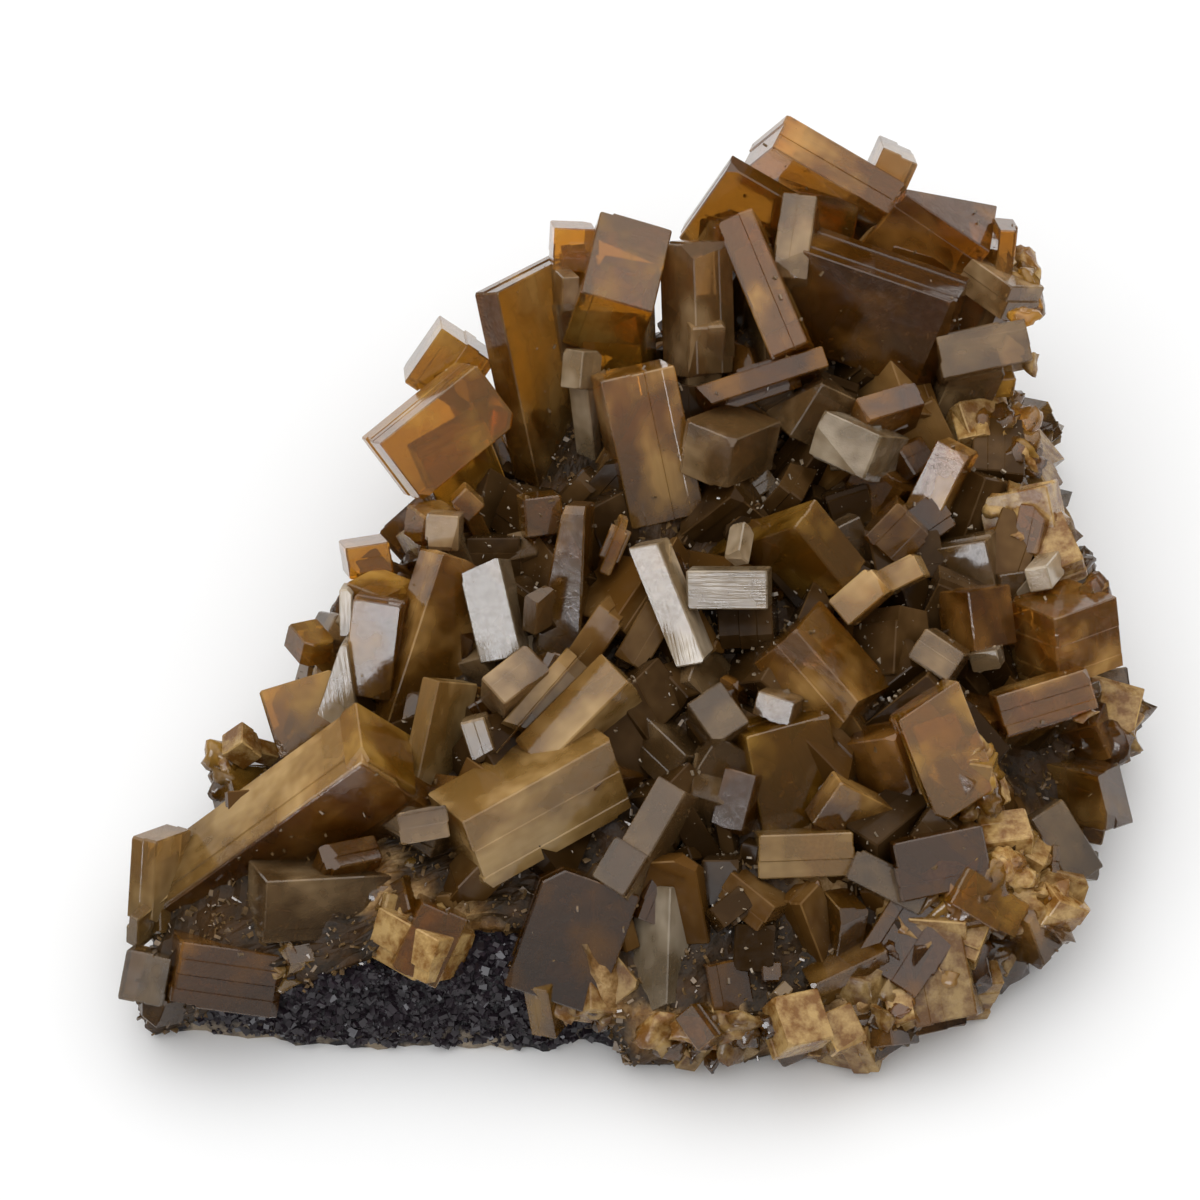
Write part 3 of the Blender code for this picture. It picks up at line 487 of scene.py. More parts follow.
@dataclass(frozen=True)
class Growth:
    """The crystals that no line of sight measured: stems, the hidden sides and the low ground."""

    root_depth: float = 2.0
    root_share: float = 0.62
    longest_stem: float = 24.0
    ground_count: int = 24
    back_ends: float = 203.0
    under_inset: float = -0.15
    under_length: float = 28.4
    under_thick: float = 2.5
    under_top: float = 0.35
    under_feet: Pair = (17.0, 5.0)
    glow_out: float = 0.15
    glow_back: float = 2.2

    def back(self) -> list[Block]:
        """Make the crystals that lean out of the sides and the back.

        Returns:
            Their blocks.
        """
        picker = random.Random(SEED)
        finishes = (HONEY, AMBER, UMBER, HONEY, SMOKE)
        blocks: list[Block] = []
        for tier, (spacing, share, lift) in enumerate(((15.0, 0.96, 0.55), (19.0, 1.0, 0.0))):
            angle = -38.0 + 7.0 * tier
            while angle < 212.0:
                spread = math.radians(angle + picker.uniform(-4.0, 4.0))
                x, y = PLATE.at(spread, PLATE.radius(spread) * share - 2.0)
                length = picker.uniform(6.5, 10.5)
                wide = picker.uniform(4.0, 7.5)
                thick = picker.uniform(2.6, 5.0)
                z = PLATE.rock_top(x, y) * (0.35 + 0.45 * lift) + picker.uniform(-1.0, 1.5)
                outward = Vector((math.cos(spread), math.sin(spread), lift + picker.uniform(-0.15, 0.3)))
                turn = picker.uniform(0.0, 2.0 * math.pi)
                across = Vector((math.cos(turn), math.sin(turn), picker.uniform(-1.0, 1.0)))
                corners = block_corners(Vector((x, y, max(z, 4.5))), outward, across,
                                        (length, wide, thick))
                if math.degrees(spread) < self.back_ends:
                    blocks.append(Block(tuple(corners), finishes[len(blocks) % len(finishes)]))
                angle += spacing * picker.uniform(0.8, 1.2)
        return blocks

    def around_bar(self) -> list[Block]:
        """Make the dark plate that runs down from the great bar, and an amber block over the bar's end as painted
        glow.

        Returns:
            Their blocks.
        """
        bar = next(crystal for crystal in FRONT if crystal.name == "great_bar")
        near, (along, over, down) = bar.directions()
        start = near + over * self.under_inset
        end = start + along * self.under_length
        thick = over * self.under_thick
        top = (start + down * self.under_top, end + down * self.under_top)
        foot = (start + down * self.under_feet[0], end + down * self.under_feet[1])
        plate = (top[0], top[1], top[1] + thick, top[0] + thick,
                 foot[0], foot[1], foot[1] + thick, foot[0] + thick)
        # Painted glow: an amber block over the bar's near end stands in for the light that shines through it.
        corners = bar.corners()
        back = along * self.glow_back
        front = along * -self.glow_out
        glow = (corners[0] + front, corners[0] + back, corners[3] + back, corners[3] + front,
                corners[4] + front, corners[4] + back, corners[7] + back, corners[7] + front)
        return [Block(plate, UMBER, dusty=0.6, measured=True), Block(glow, AMBER, measured=True)]

    def ground(self) -> list[Block]:
        """Make the low crystals between the tall ones.

        Returns:
            Their blocks.
        """
        picker = random.Random(SEED + 1)
        finishes = (UMBER, SMOKE, UMBER, HONEY)
        blocks: list[Block] = []
        for count in range(self.ground_count):
            spread = picker.uniform(0.0, 2.0 * math.pi)
            radius = PLATE.radius(spread) * math.sqrt(picker.uniform(0.02, 0.86))
            x, y = PLATE.at(spread, radius)
            length = picker.uniform(4.0, 7.0)
            wide = picker.uniform(3.0, 6.0)
            thick = picker.uniform(2.0, 4.0)
            tilt = Vector((picker.uniform(-0.7, 0.7), picker.uniform(-0.7, 0.7), 1.0))
            turn = picker.uniform(0.0, 2.0 * math.pi)
            across = Vector((math.cos(turn), math.sin(turn), 0.0))
            foot = Vector((x, y, PLATE.crust_top(x, y) - 2.5))
            corners = block_corners(foot, tilt, across, (length, wide, thick))
            blocks.append(Block(tuple(corners), finishes[count % len(finishes)]))
        return blocks

    def is_rooted(self, corners: list[Vector]) -> bool:
        """Tell whether some corner lies deep enough in the crust."""
        for corner in corners:
            if PLATE.holds(corner.x, corner.y, 1.0):
                if corner.z < PLATE.crust_top(corner.x, corner.y) - self.root_depth:
                    return True
        return False

    def reach(self, middle: Vector, away: Vector) -> float:
        """Measure from a crystal's middle to firm crust in one direction, mm."""
        reach = 0.0
        while reach < self.longest_stem:
            tip = middle + away * reach
            if PLATE.holds(tip.x, tip.y, 1.5):
                if tip.z < PLATE.crust_top(tip.x, tip.y) - self.root_depth:
                    return reach
            reach += 0.5
        return self.longest_stem

    def stem(self, corners: list[Vector]) -> list[Vector]:
        """Make the stem that a crystal stands on.

        Args:
            corners: the crystal's corners, mm.

        Returns:
            The stem's corners.
        """
        middle = sum(corners, Vector()) / len(corners)
        edges = [corners[1] - corners[0], corners[3] - corners[0], corners[4] - corners[0]]
        edges.sort(key=lambda edge: edge.length)
        towards = VIEW.axes()[2]
        inwards = Vector((PLATE.centre[0] - middle.x, PLATE.centre[1] - middle.y, 0.0)).normalized()
        down = Vector((0.0, 0.0, -1.0))
        ways = [-towards, inwards * 0.5 + down, inwards * 1.2 + down]
        reaches = [self.reach(middle, way.normalized()) for way in ways]
        shortest = min(range(len(ways)), key=lambda i: reaches[i] + 2.0 * i)
        away = ways[shortest].normalized()
        tip = middle + away * reaches[shortest]
        wide = (edges[-1].length * self.root_share, edges[1].length * self.root_share)
        return block_corners(tip, -away, edges[-1], (reaches[shortest], *wide))

    def all_blocks(self) -> list[Block]:
        """Give every crystal of the plate.

        Returns:
            The measured crystals, their stems, and those of the sides and the ground.
        """
        blocks: list[Block] = []
        for crystal in MEASURED:
            corners = crystal.corners()
            blocks.append(Block(tuple(corners), crystal.finish, measured=True))
            if not self.is_rooted(corners):
                blocks.append(Block(tuple(self.stem(corners)), crystal.finish))
        return blocks + self.around_bar() + self.back() + self.ground()


@dataclass(frozen=True)
class InfillGrade:
    """One size of the crystals that fill the ground."""

    count: int
    length: Pair
    width: Pair
    thick: Pair
    spacing: float


@dataclass
class Infill:
    """The smaller crystals and broken lumps that crowd the ground between the large ones."""

    blocks: list[Block]
    grades: tuple[InfillGrade, ...] = (
        InfillGrade(130, (7.0, 12.0), (5.0, 8.5), (2.8, 5.6), 4.6),
        InfillGrade(170, (4.5, 7.5), (3.2, 5.6), (2.0, 3.8), 3.2),
        InfillGrade(130, (2.4, 4.2), (1.6, 3.0), (1.0, 2.0), 1.8),
    )
    tries: int = 18
    sunk: Pair = (0.35, 0.6)
    sight_depth: float = 60.0
    rim_margin: float = 0.5
    broken_share: float = 0.75
    dusty: float = 0.6

    def sight_tree(self) -> BVHTree:
        """Gather the measured crystals for lines of sight.

        Returns:
            A tree of their faces.
        """
        points: list[Vector] = []
        faces: list[list[int]] = []
        for block in self.blocks:
            if block.measured:
                start = len(points)
                points.extend(block.corners)
                faces.extend([start + i for i in face] for face in BLOCK_FACES)
        return BVHTree.FromPolygons(points, faces)

    def hides(self, tree: BVHTree, corners: list[Vector]) -> bool:
        """Tell whether a block would stand in front of measured crystals.

        Args:
            tree: the measured crystals.
            corners: the block's corners, mm.

        Returns:
            True when any of its corners or face middles would cover one.
        """
        eye = VIEW.eye()
        middles = [sum((corners[i] for i in face), Vector()) / len(face) for face in BLOCK_FACES]
        for point in corners + middles:
            towards = (eye - point).normalized()
            if tree.ray_cast(point, towards)[0] is not None:
                continue
            if tree.ray_cast(point, -towards, self.sight_depth)[0] is not None:
                return True
        return False

    def finish(self, cream: float, picker: random.Random) -> Finish:
        """Choose a finish that suits the ground.

        Args:
            cream: how creamy the ground is there.
            picker: the source of chance.

        Returns:
            The finish.
        """
        if cream > 0.5:
            return picker.choice((LOAM, CREAM, LOAM, AMBER, LOAM, UMBER))
        return picker.choice((DUSK, LOAM, DUSK, DUSK, UMBER, DUSK, LOAM, DUSK, SMOKE, DUSK))

    def grow(self) -> list[Block]:
        """Place the crystals, the large ones first.

        Returns:
            Their blocks.
        """
        picker = random.Random(SEED + 4)
        tree = self.sight_tree()
        placed: list[tuple[Vector, float]] = []
        found: list[Block] = []
        for grade in self.grades:
            left = grade.count
            for _ in range(grade.count * self.tries):
                if not left:
                    break
                spread = picker.uniform(0.0, 2.0 * math.pi)
                x, y = PLATE.at(spread, PLATE.radius(spread) * math.sqrt(picker.random()))
                foot = Vector((x, y, PLATE.crust_top(x, y)))
                if any((foot - other).length < (grade.spacing + gap) / 2.0 for other, gap in placed):
                    continue
                size = tuple(picker.uniform(*span) for span in (grade.length, grade.width, grade.thick))
                tilt = Vector((picker.uniform(-1.1, 1.1), picker.uniform(-1.1, 1.1), 1.0)).normalized()
                turn = picker.uniform(0.0, 2.0 * math.pi)
                across = Vector((math.cos(turn), math.sin(turn), picker.uniform(-0.5, 0.5)))
                corners = block_corners(foot - tilt * size[0] * picker.uniform(*self.sunk), tilt,
                                        across, size)
                if any(not PLATE.on_crust(k.x, k.y, self.rim_margin) for k in corners):
                    continue
                if self.hides(tree, corners):
                    continue
                cream = cream_share(foot)
                broken = cream > 0.5 and picker.random() < self.broken_share
                found.append(Block(tuple(corners), self.finish(cream, picker), self.dusty, broken=broken))
                placed.append((foot, grade.spacing))
                left -= 1
        LOG.info("infill: %d crystals", len(found))
        return found


@dataclass(frozen=True)
class Mass:
    """A broken mass of barite: its place right of and above the view's middle, and its reach, mm."""

    place: Pair
    reach: float
    finishes: tuple[Finish, ...]
    count: int = 9


PALE = (CREAM, CREAM, AMBER)
GOLD = (AMBER, CREAM, AMBER, HONEY)
TAWNY = (CREAM, HONEY, AMBER, CREAM, UMBER, CREAM)

MASSES = (
    Mass((42.6, 33.5), 1.9, PALE, 7), Mass((43.8, 28.5), 1.6, PALE, 5), Mass((44.2, 24.0), 1.7, PALE, 5),
    Mass((40.5, 21.3), 1.4, GOLD, 4), Mass((38.8, 17.5), 2.6, GOLD), Mass((42.8, 16.0), 2.4, (AMBER, HONEY)),
    Mass((43.0, 12.3), 2.6, (CREAM,), 8), Mass((42.5, 8.6), 3.0, GOLD, 12), Mass((46.8, 5.6), 2.2, PALE),
    Mass((48.4, 2.0), 2.2, GOLD), Mass((50.5, -13.0), 2.4, TAWNY), Mass((36.8, -16.5), 1.9, PALE),
    Mass((38.8, -20.5), 2.0, PALE), Mass((41.6, -25.5), 2.6, PALE, 11), Mass((44.8, -29.5), 2.6, TAWNY, 11),
    Mass((40.0, -30.0), 3.2, TAWNY, 14), Mass((35.0, -31.5), 3.0, TAWNY, 12), Mass((30.5, -34.5), 3.2, TAWNY, 14),
    Mass((36.0, -36.0), 3.4, TAWNY, 14), Mass((31.0, -39.5), 3.2, TAWNY, 14), Mass((26.0, -41.5), 2.8, TAWNY, 12),
    Mass((22.0, -43.5), 1.8, PALE, 8), Mass((17.5, -43.4), 1.8, PALE, 8), Mass((13.0, -43.0), 1.8, PALE, 8),
    Mass((9.5, -43.0), 1.6, PALE, 8), Mass((0.5, -39.5), 2.2, PALE), Mass((-3.8, -38.8), 2.0, PALE),
    Mass((-11.0, -37.5), 2.0, PALE), Mass((-14.0, -35.0), 2.8, PALE, 12), Mass((-17.0, -32.5), 2.6, GOLD, 10),
    Mass((-19.5, -29.5), 2.2, GOLD, 8), Mass((-22.5, -31.0), 2.4, (CREAM, AMBER, CREAM), 10),
    Mass((-27.0, -37.0), 2.2, GOLD, 6), Mass((-31.5, -37.0), 1.6, TAWNY, 5), Mass((-37.5, -17.0), 1.8, GOLD, 6),
)


@dataclass
class Rubble:
    """Broken lumps of barite: the named masses, and the pale rim of the crust."""

    crust: bpy.types.Object
    blocks: list[Block]
    lump: Pair = (0.80, 1.55)
    sunk: float = 0.42
    rim_count: int = 380
    rim_lump: Pair = (2.6, 6.0)
    rim_heights: Pair = (0.06, 1.0)
    clearance: float = 0.2

    def surface(self) -> BVHTree:
        """Gather the crust and every crystal.

        Returns:
            A tree of their faces.
        """
        points = [vert.co / MM for vert in self.crust.data.vertices]
        faces = [list(face.vertices) for face in self.crust.data.polygons]
        for block in self.blocks:
            start = len(points)
            points.extend(block.corners)
            faces.extend([start + i for i in face] for face in BLOCK_FACES)
        return BVHTree.FromPolygons(points, faces)

    def piece(self, middle: Vector, size: float, finish: Finish, picker: random.Random) -> Block:
        """Set down one lump.

        Args:
            middle: its middle, mm.
            size: its rough length, mm.
            finish: what it looks like.
            picker: the source of chance.

        Returns:
            Its block.
        """
        along = Vector([picker.gauss(0.0, 1.0) for _ in range(3)]).normalized()
        across = Vector([picker.gauss(0.0, 1.0) for _ in range(3)])
        sides = (size, size * picker.uniform(0.6, 1.0), size * picker.uniform(0.4, 0.8))
        corners = block_corners(middle - along * size / 2.0, along, across, sides)
        lift = Vector((0.0, 0.0, max(0.0, self.clearance - min(corner.z for corner in corners))))
        return Block(tuple(corner + lift for corner in corners), finish, broken=picker.random() < 0.8)

    def masses(self, picker: random.Random) -> list[Block]:
        """Lay the named masses where their lines of sight meet the plate.

        Args:
            picker: the source of chance.

        Returns:
            Their blocks.
        """
        tree = self.surface()
        eye = VIEW.eye()
        found = []
        for mass in MASSES:
            for _ in range(mass.count):
                turn = picker.uniform(0.0, 2.0 * math.pi)
                away = mass.reach * math.sqrt(picker.random())
                across = mass.place[0] + away * math.cos(turn)
                above = mass.place[1] + away * math.sin(turn)
                ray = (VIEW.sight(across, above, 0.0)[0] - eye).normalized()
                hit = tree.ray_cast(eye, ray)[0]
                if hit is None:
                    continue
                size = mass.reach * 2.0 * picker.uniform(*self.lump)
                finish = picker.choice(mass.finishes)
                found.append(self.piece(hit + ray * size * self.sunk, size, finish, picker))
        return found

    def rim(self, picker: random.Random) -> list[Block]:
        """Stud the pale parts of the crust's side with lumps.

        Args:
            picker: the source of chance.

        Returns:
            Their blocks.
        """
        found = []
        for _ in range(self.rim_count):
            angle = picker.uniform(0.0, 2.0 * math.pi)
            share = picker.uniform(*self.rim_heights)
            x, y = PLATE.at(angle, PLATE.radius(angle) + PLATE.skirt * 0.6)
            point = Vector((x, y, PLATE.crust_top(x, y) * share + PLATE.lowest + 0.8))
            if PLATE.bare(angle) > 0.3 or cream_share(point) < 0.4:
                continue
            size = picker.uniform(*self.rim_lump)
            if point.z > size * 0.5:
                found.append(self.piece(point, size, picker.choice(TAWNY), picker))
        return found

    def break_up(self) -> list[Block]:
        """Make all the lumps.

        Returns:
            Their blocks.
        """
        picker = random.Random(SEED + 6)
        found = self.masses(picker) + self.rim(picker)
        LOG.info("rubble: %d lumps", len(found))
        return found


SIDES = 4


@dataclass
class CrystalShape:
    """Shapes one crystal inside its block: a stack of growth layers with edges bevelled as if by wear, and chips.
    """

    block: Block
    picker: random.Random
    wear: float = 0.13
    layer: float = 1.3
    seam: float = 0.05
    lump_cuts: int = 2
    lump_grain: float = 0.8
    lump_relief: float = 0.30

    def ends(self) -> tuple[list[Vector], list[Vector]]:
        """Find the block's two broad faces.

        Returns:
            Four corners of each, in matching order.
        """
        k = self.block.corners
        pairs = (((0, 3, 7, 4), (1, 2, 6, 5)), ((0, 1, 5, 4), (3, 2, 6, 7)), ((0, 1, 2, 3), (4, 5, 6, 7)))
        lengths = [(k[1] - k[0]).length, (k[2] - k[1]).length, (k[4] - k[0]).length]
        low, high = pairs[lengths.index(min(lengths))]
        return [k[i] for i in low], [k[i] for i in high]

    def ring(self, quad: list[Vector], insets: list[float], cuts: list[float]) -> list[Vector]:
        """Draw one ring of the stack: a quad, drawn in and with its corners cut.

        Args:
            quad: four corners, mm.
            insets: how far each side is drawn in, mm.
            cuts: how much is cut off each corner, mm.

        Returns:
            Eight points.
        """
        points = []
        for i in range(SIDES):
            ahead = (quad[(i + 1) % SIDES] - quad[i]).normalized()
            back = (quad[i - 1] - quad[i]).normalized()
            corner = quad[i] + ahead * insets[i - 1] + back * insets[i]
            points.append(corner + back * cuts[i])
            points.append(corner + ahead * cuts[i])
        return points

    def profile(self, thick: float, narrow: float) -> list[tuple[float, list[float]]]:
        """Choose the heights of the rings and how far each is drawn in.

        Args:
            thick: the stack's height, mm.
            narrow: the shortest side of its broad faces, mm.

        Returns:
            Pairs of a height and four insets, from the bottom up.
        """
        picker = self.picker
        count = max(1, min(5, round(thick / self.layer)))
        most = min(0.3, 0.06 * narrow)
        rows: list[tuple[float, list[float]]] = []
        inset = [picker.uniform(0.0, most) for _ in range(SIDES)]
        rows.append((0.0, [value + self.wear for value in inset]))
        rows.append((self.wear, inset))
        for i in range(1, count):
            height = thick * (i + picker.uniform(-0.25, 0.25)) / count
            rows.append((height - self.seam, inset))
            inset = [value if picker.random() < 0.45 else picker.uniform(0.0, most) for value in inset]
            rows.append((height + self.seam, inset))
        if picker.random() < 0.55 and thick > 1.2:
            step = picker.uniform(0.12, 0.3)
            rows.append((thick - self.wear - step - self.seam, inset))
            inset = list(inset)
            side = picker.randrange(SIDES)
            inset[side] += narrow * picker.uniform(0.08, 0.4)
            if picker.random() < 0.5:
                inset[side - 1] += narrow * picker.uniform(0.05, 0.3)
            rows.append((thick - self.wear - step + self.seam, inset))
        rows.append((thick - self.wear, inset))
        rows.append((thick, [value + self.wear for value in inset]))
        return rows

    def mesh(self) -> bmesh.types.BMesh:
        """Build the crystal's closed mesh, in mm.

        Returns:
            A bmesh; the caller frees it.
        """
        low, high = self.ends()
        thick = (high[0] - low[0]).length
        narrow = min(min((low[i] - low[i - 1]).length, (high[i] - high[i - 1]).length)
                     for i in range(SIDES))
        cuts = [self.wear * self.picker.uniform(0.7, 1.6) for _ in range(SIDES)]
        if self.picker.random() < 0.3:
            cuts[self.picker.randrange(SIDES)] = narrow * self.picker.uniform(0.08, 0.2)
        cuts = [min(cut, 0.25 * narrow) for cut in cuts]
        wear = self.wear
        self.wear = min(self.wear, 0.12 * thick, 0.12 * narrow)
        mesh = bmesh.new()
        # Painted highlight: some bevel faces are marked to take a pale colour, as bright lines that light draws
        # along the edges.
        edge_highlight = mesh.faces.layers.float.new("edge_highlight")
        highlit_sides = [self.picker.choice((0.0, 0.0, 0.0, 0.5, 1.0)) for _ in range(SIDES)]
        rings = []
        heights = []
        for height, insets in self.profile(thick, narrow):
            share = height / thick
            quad = [a.lerp(b, share) for a, b in zip(low, high)]
            rings.append([mesh.verts.new(point) for point in self.ring(quad, insets, cuts)])
            heights.append(height)
        self.wear = wear
        last = len(rings) - 2
        for row, (lower, upper) in enumerate(zip(rings, rings[1:])):
            for i in range(2 * SIDES):
                j = (i + 1) % (2 * SIDES)
                face = mesh.faces.new((lower[i], lower[j], upper[j], upper[i]))
                upright = i % 2 == 0 and cuts[i // 2] < 2.0 * wear
                flat = i % 2 == 1 and row in (0, last)
                face[edge_highlight] = highlit_sides[(i // 2 + row) % SIDES] if flat else highlit_sides[i // 2] * upright
        mesh.faces.new(rings[0][::-1])
        mesh.faces.new(rings[-1])
        self.chip(mesh, narrow)
        bmesh.ops.recalc_face_normals(mesh, faces=mesh.faces)
        return mesh

    def chip(self, mesh: bmesh.types.BMesh, narrow: float) -> None:
        """Knock small flakes off some corners.

        Args:
            mesh: the crystal's mesh, changed in place.
            narrow: the shortest side of its broad faces, mm.
        """
        middle = sum(self.block.corners, Vector()) / len(self.block.corners)
        for corner in self.block.corners:
            if self.picker.random() > 0.3 or narrow < 2.0:
                continue
            outward = (corner - middle).normalized()
            wild = Vector([self.picker.uniform(-0.6, 0.6) for _ in range(3)])
            deep = self.picker.uniform(0.25, 0.7)
            geometry = mesh.verts[:] + mesh.edges[:] + mesh.faces[:]
            cut = bmesh.ops.bisect_plane(mesh, geom=geometry, plane_co=corner - outward * deep,
                                         plane_no=(outward + wild).normalized(), clear_outer=True)
            edges = [item for item in cut["geom_cut"] if isinstance(item, bmesh.types.BMEdge)]
            if edges:
                bmesh.ops.holes_fill(mesh, edges=edges, sides=0)

    def lump(self) -> bmesh.types.BMesh:
        """Build a broken lump that fills the block.

        Returns:
            A bmesh; the caller frees it.
        """
        k = self.block.corners
        middle = sum(k, Vector()) / len(k)
        halves = [(k[1] - k[0]) / 2.0, (k[3] - k[0]) / 2.0, (k[4] - k[0]) / 2.0]
        mesh = bmesh.new()
        mesh.faces.layers.float.new("edge_highlight")
        for _ in range(self.picker.randrange(14, 22)):
            way = Vector([self.picker.gauss(0.0, 1.0) for _ in range(3)]).normalized()
            way *= self.picker.uniform(0.85, 1.1)
            mesh.verts.new(middle + sum((half * share for half, share in zip(halves, way)), Vector()))
        hull = bmesh.ops.convex_hull(mesh, input=mesh.verts[:])
        inside = [item for item in hull["geom_interior"] if isinstance(item, bmesh.types.BMVert)]
        bmesh.ops.delete(mesh, geom=inside, context="VERTS")
        bmesh.ops.subdivide_edges(mesh, edges=mesh.edges[:], cuts=self.lump_cuts, use_grid_fill=True)
        bmesh.ops.recalc_face_normals(mesh, faces=mesh.faces)
        mesh.normal_update()
        small = min(half.length for half in halves)
        for vert in mesh.verts:
            x, y, z = vert.co
            relief = bumps(x, y, z, 2.5 * self.lump_grain) + bumps(y, z, x, self.lump_grain)
            vert.co += vert.normal * relief * self.lump_relief * small
        return mesh


@dataclass
class MeshHeap:
    """Gathers many small closed meshes into one piece, with a value and a grain for each point."""

    points: list[Vector] = field(default_factory=list)
    faces: list[list[int]] = field(default_factory=list)
    shades: list[float] = field(default_factory=list)
    grains: list[float] = field(default_factory=list)
    dusts: list[float] = field(default_factory=list)
    lifts: list[float] = field(default_factory=list)
    # Per face: how much painted edge highlight it takes.
    edge_highlight: list[float] = field(default_factory=list)
    soft: list[bool] = field(default_factory=list)

    def add(self, mesh: bmesh.types.BMesh, block: Block, picker: random.Random) -> None:
        """Add one crystal.

        Args:
            mesh: its mesh, mm; freed here.
            block: the block it came from.
            picker: gives its shade and the offset of its grain.
        """
        k = block.corners
        edges = sorted((k[1] - k[0], k[3] - k[0], k[4] - k[0]), key=lambda edge: -edge.length)
        axes = [edge.normalized() for edge in edges]
        shade = picker.uniform(-1.0, 1.0)
        offset = Vector([picker.uniform(0.0, 90.0) for _ in range(3)])
        start = len(self.points)
        mesh.verts.index_update()
        for vert in mesh.verts:
            self.points.append(vert.co * MM)
            self.shades.append(shade)
            self.dusts.append(block.dusty)
            self.grains.extend(vert.co.dot(axis) + offset[i] for i, axis in enumerate(axes))
            # Height over the crust, which the materials use for painted shade towards the crystal's foot.
            self.lifts.append(vert.co.z - PLATE.crust_top(vert.co.x, vert.co.y))
        edge_highlight = mesh.faces.layers.float["edge_highlight"]
        for face in mesh.faces:
            self.faces.append([vert.index + start for vert in face.verts])
            self.edge_highlight.append(face[edge_highlight])
            self.soft.append(block.broken)
        mesh.free()

    def finish(self, name: str) -> bpy.types.Object:
        """Turn the heap into an object.

        Args:
            name: the object's name.

        Returns:
            The object, linked to the scene.
        """
        data = bpy.data.meshes.new(name)
        data.from_pydata(self.points, [], self.faces)
        data.attributes.new("shade", "FLOAT", "POINT").data.foreach_set("value", self.shades)
        data.attributes.new("dust", "FLOAT", "POINT").data.foreach_set("value", self.dusts)
        data.attributes.new("grain", "FLOAT_VECTOR", "POINT").data.foreach_set("vector", self.grains)
        data.attributes.new("lift", "FLOAT", "POINT").data.foreach_set("value", self.lifts)
        data.attributes.new("edge_highlight", "FLOAT", "FACE").data.foreach_set("value", self.edge_highlight)
        data.polygons.foreach_set("use_smooth", self.soft)
        data.validate()
        data.update()
        return link(bpy.data.objects.new(name, data))


def link(thing: bpy.types.Object) -> bpy.types.Object:
    """Put an object in the scene and give it back."""
    bpy.context.scene.collection.objects.link(thing)
    return thing


def dress(piece: bpy.types.Object, material: bpy.types.Material, node: str) -> None:
    """Give a piece its material and its place in the frame.

    Args:
        piece: the piece.
        material: what it is made of.
        node: the CAD node that it stands for.
    """
    piece.data.materials.clear()
    piece.data.materials.append(material)
    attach(piece, BODY)
    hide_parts(node)
    LOG.info("%s: %d faces", piece.name, len(piece.data.polygons))


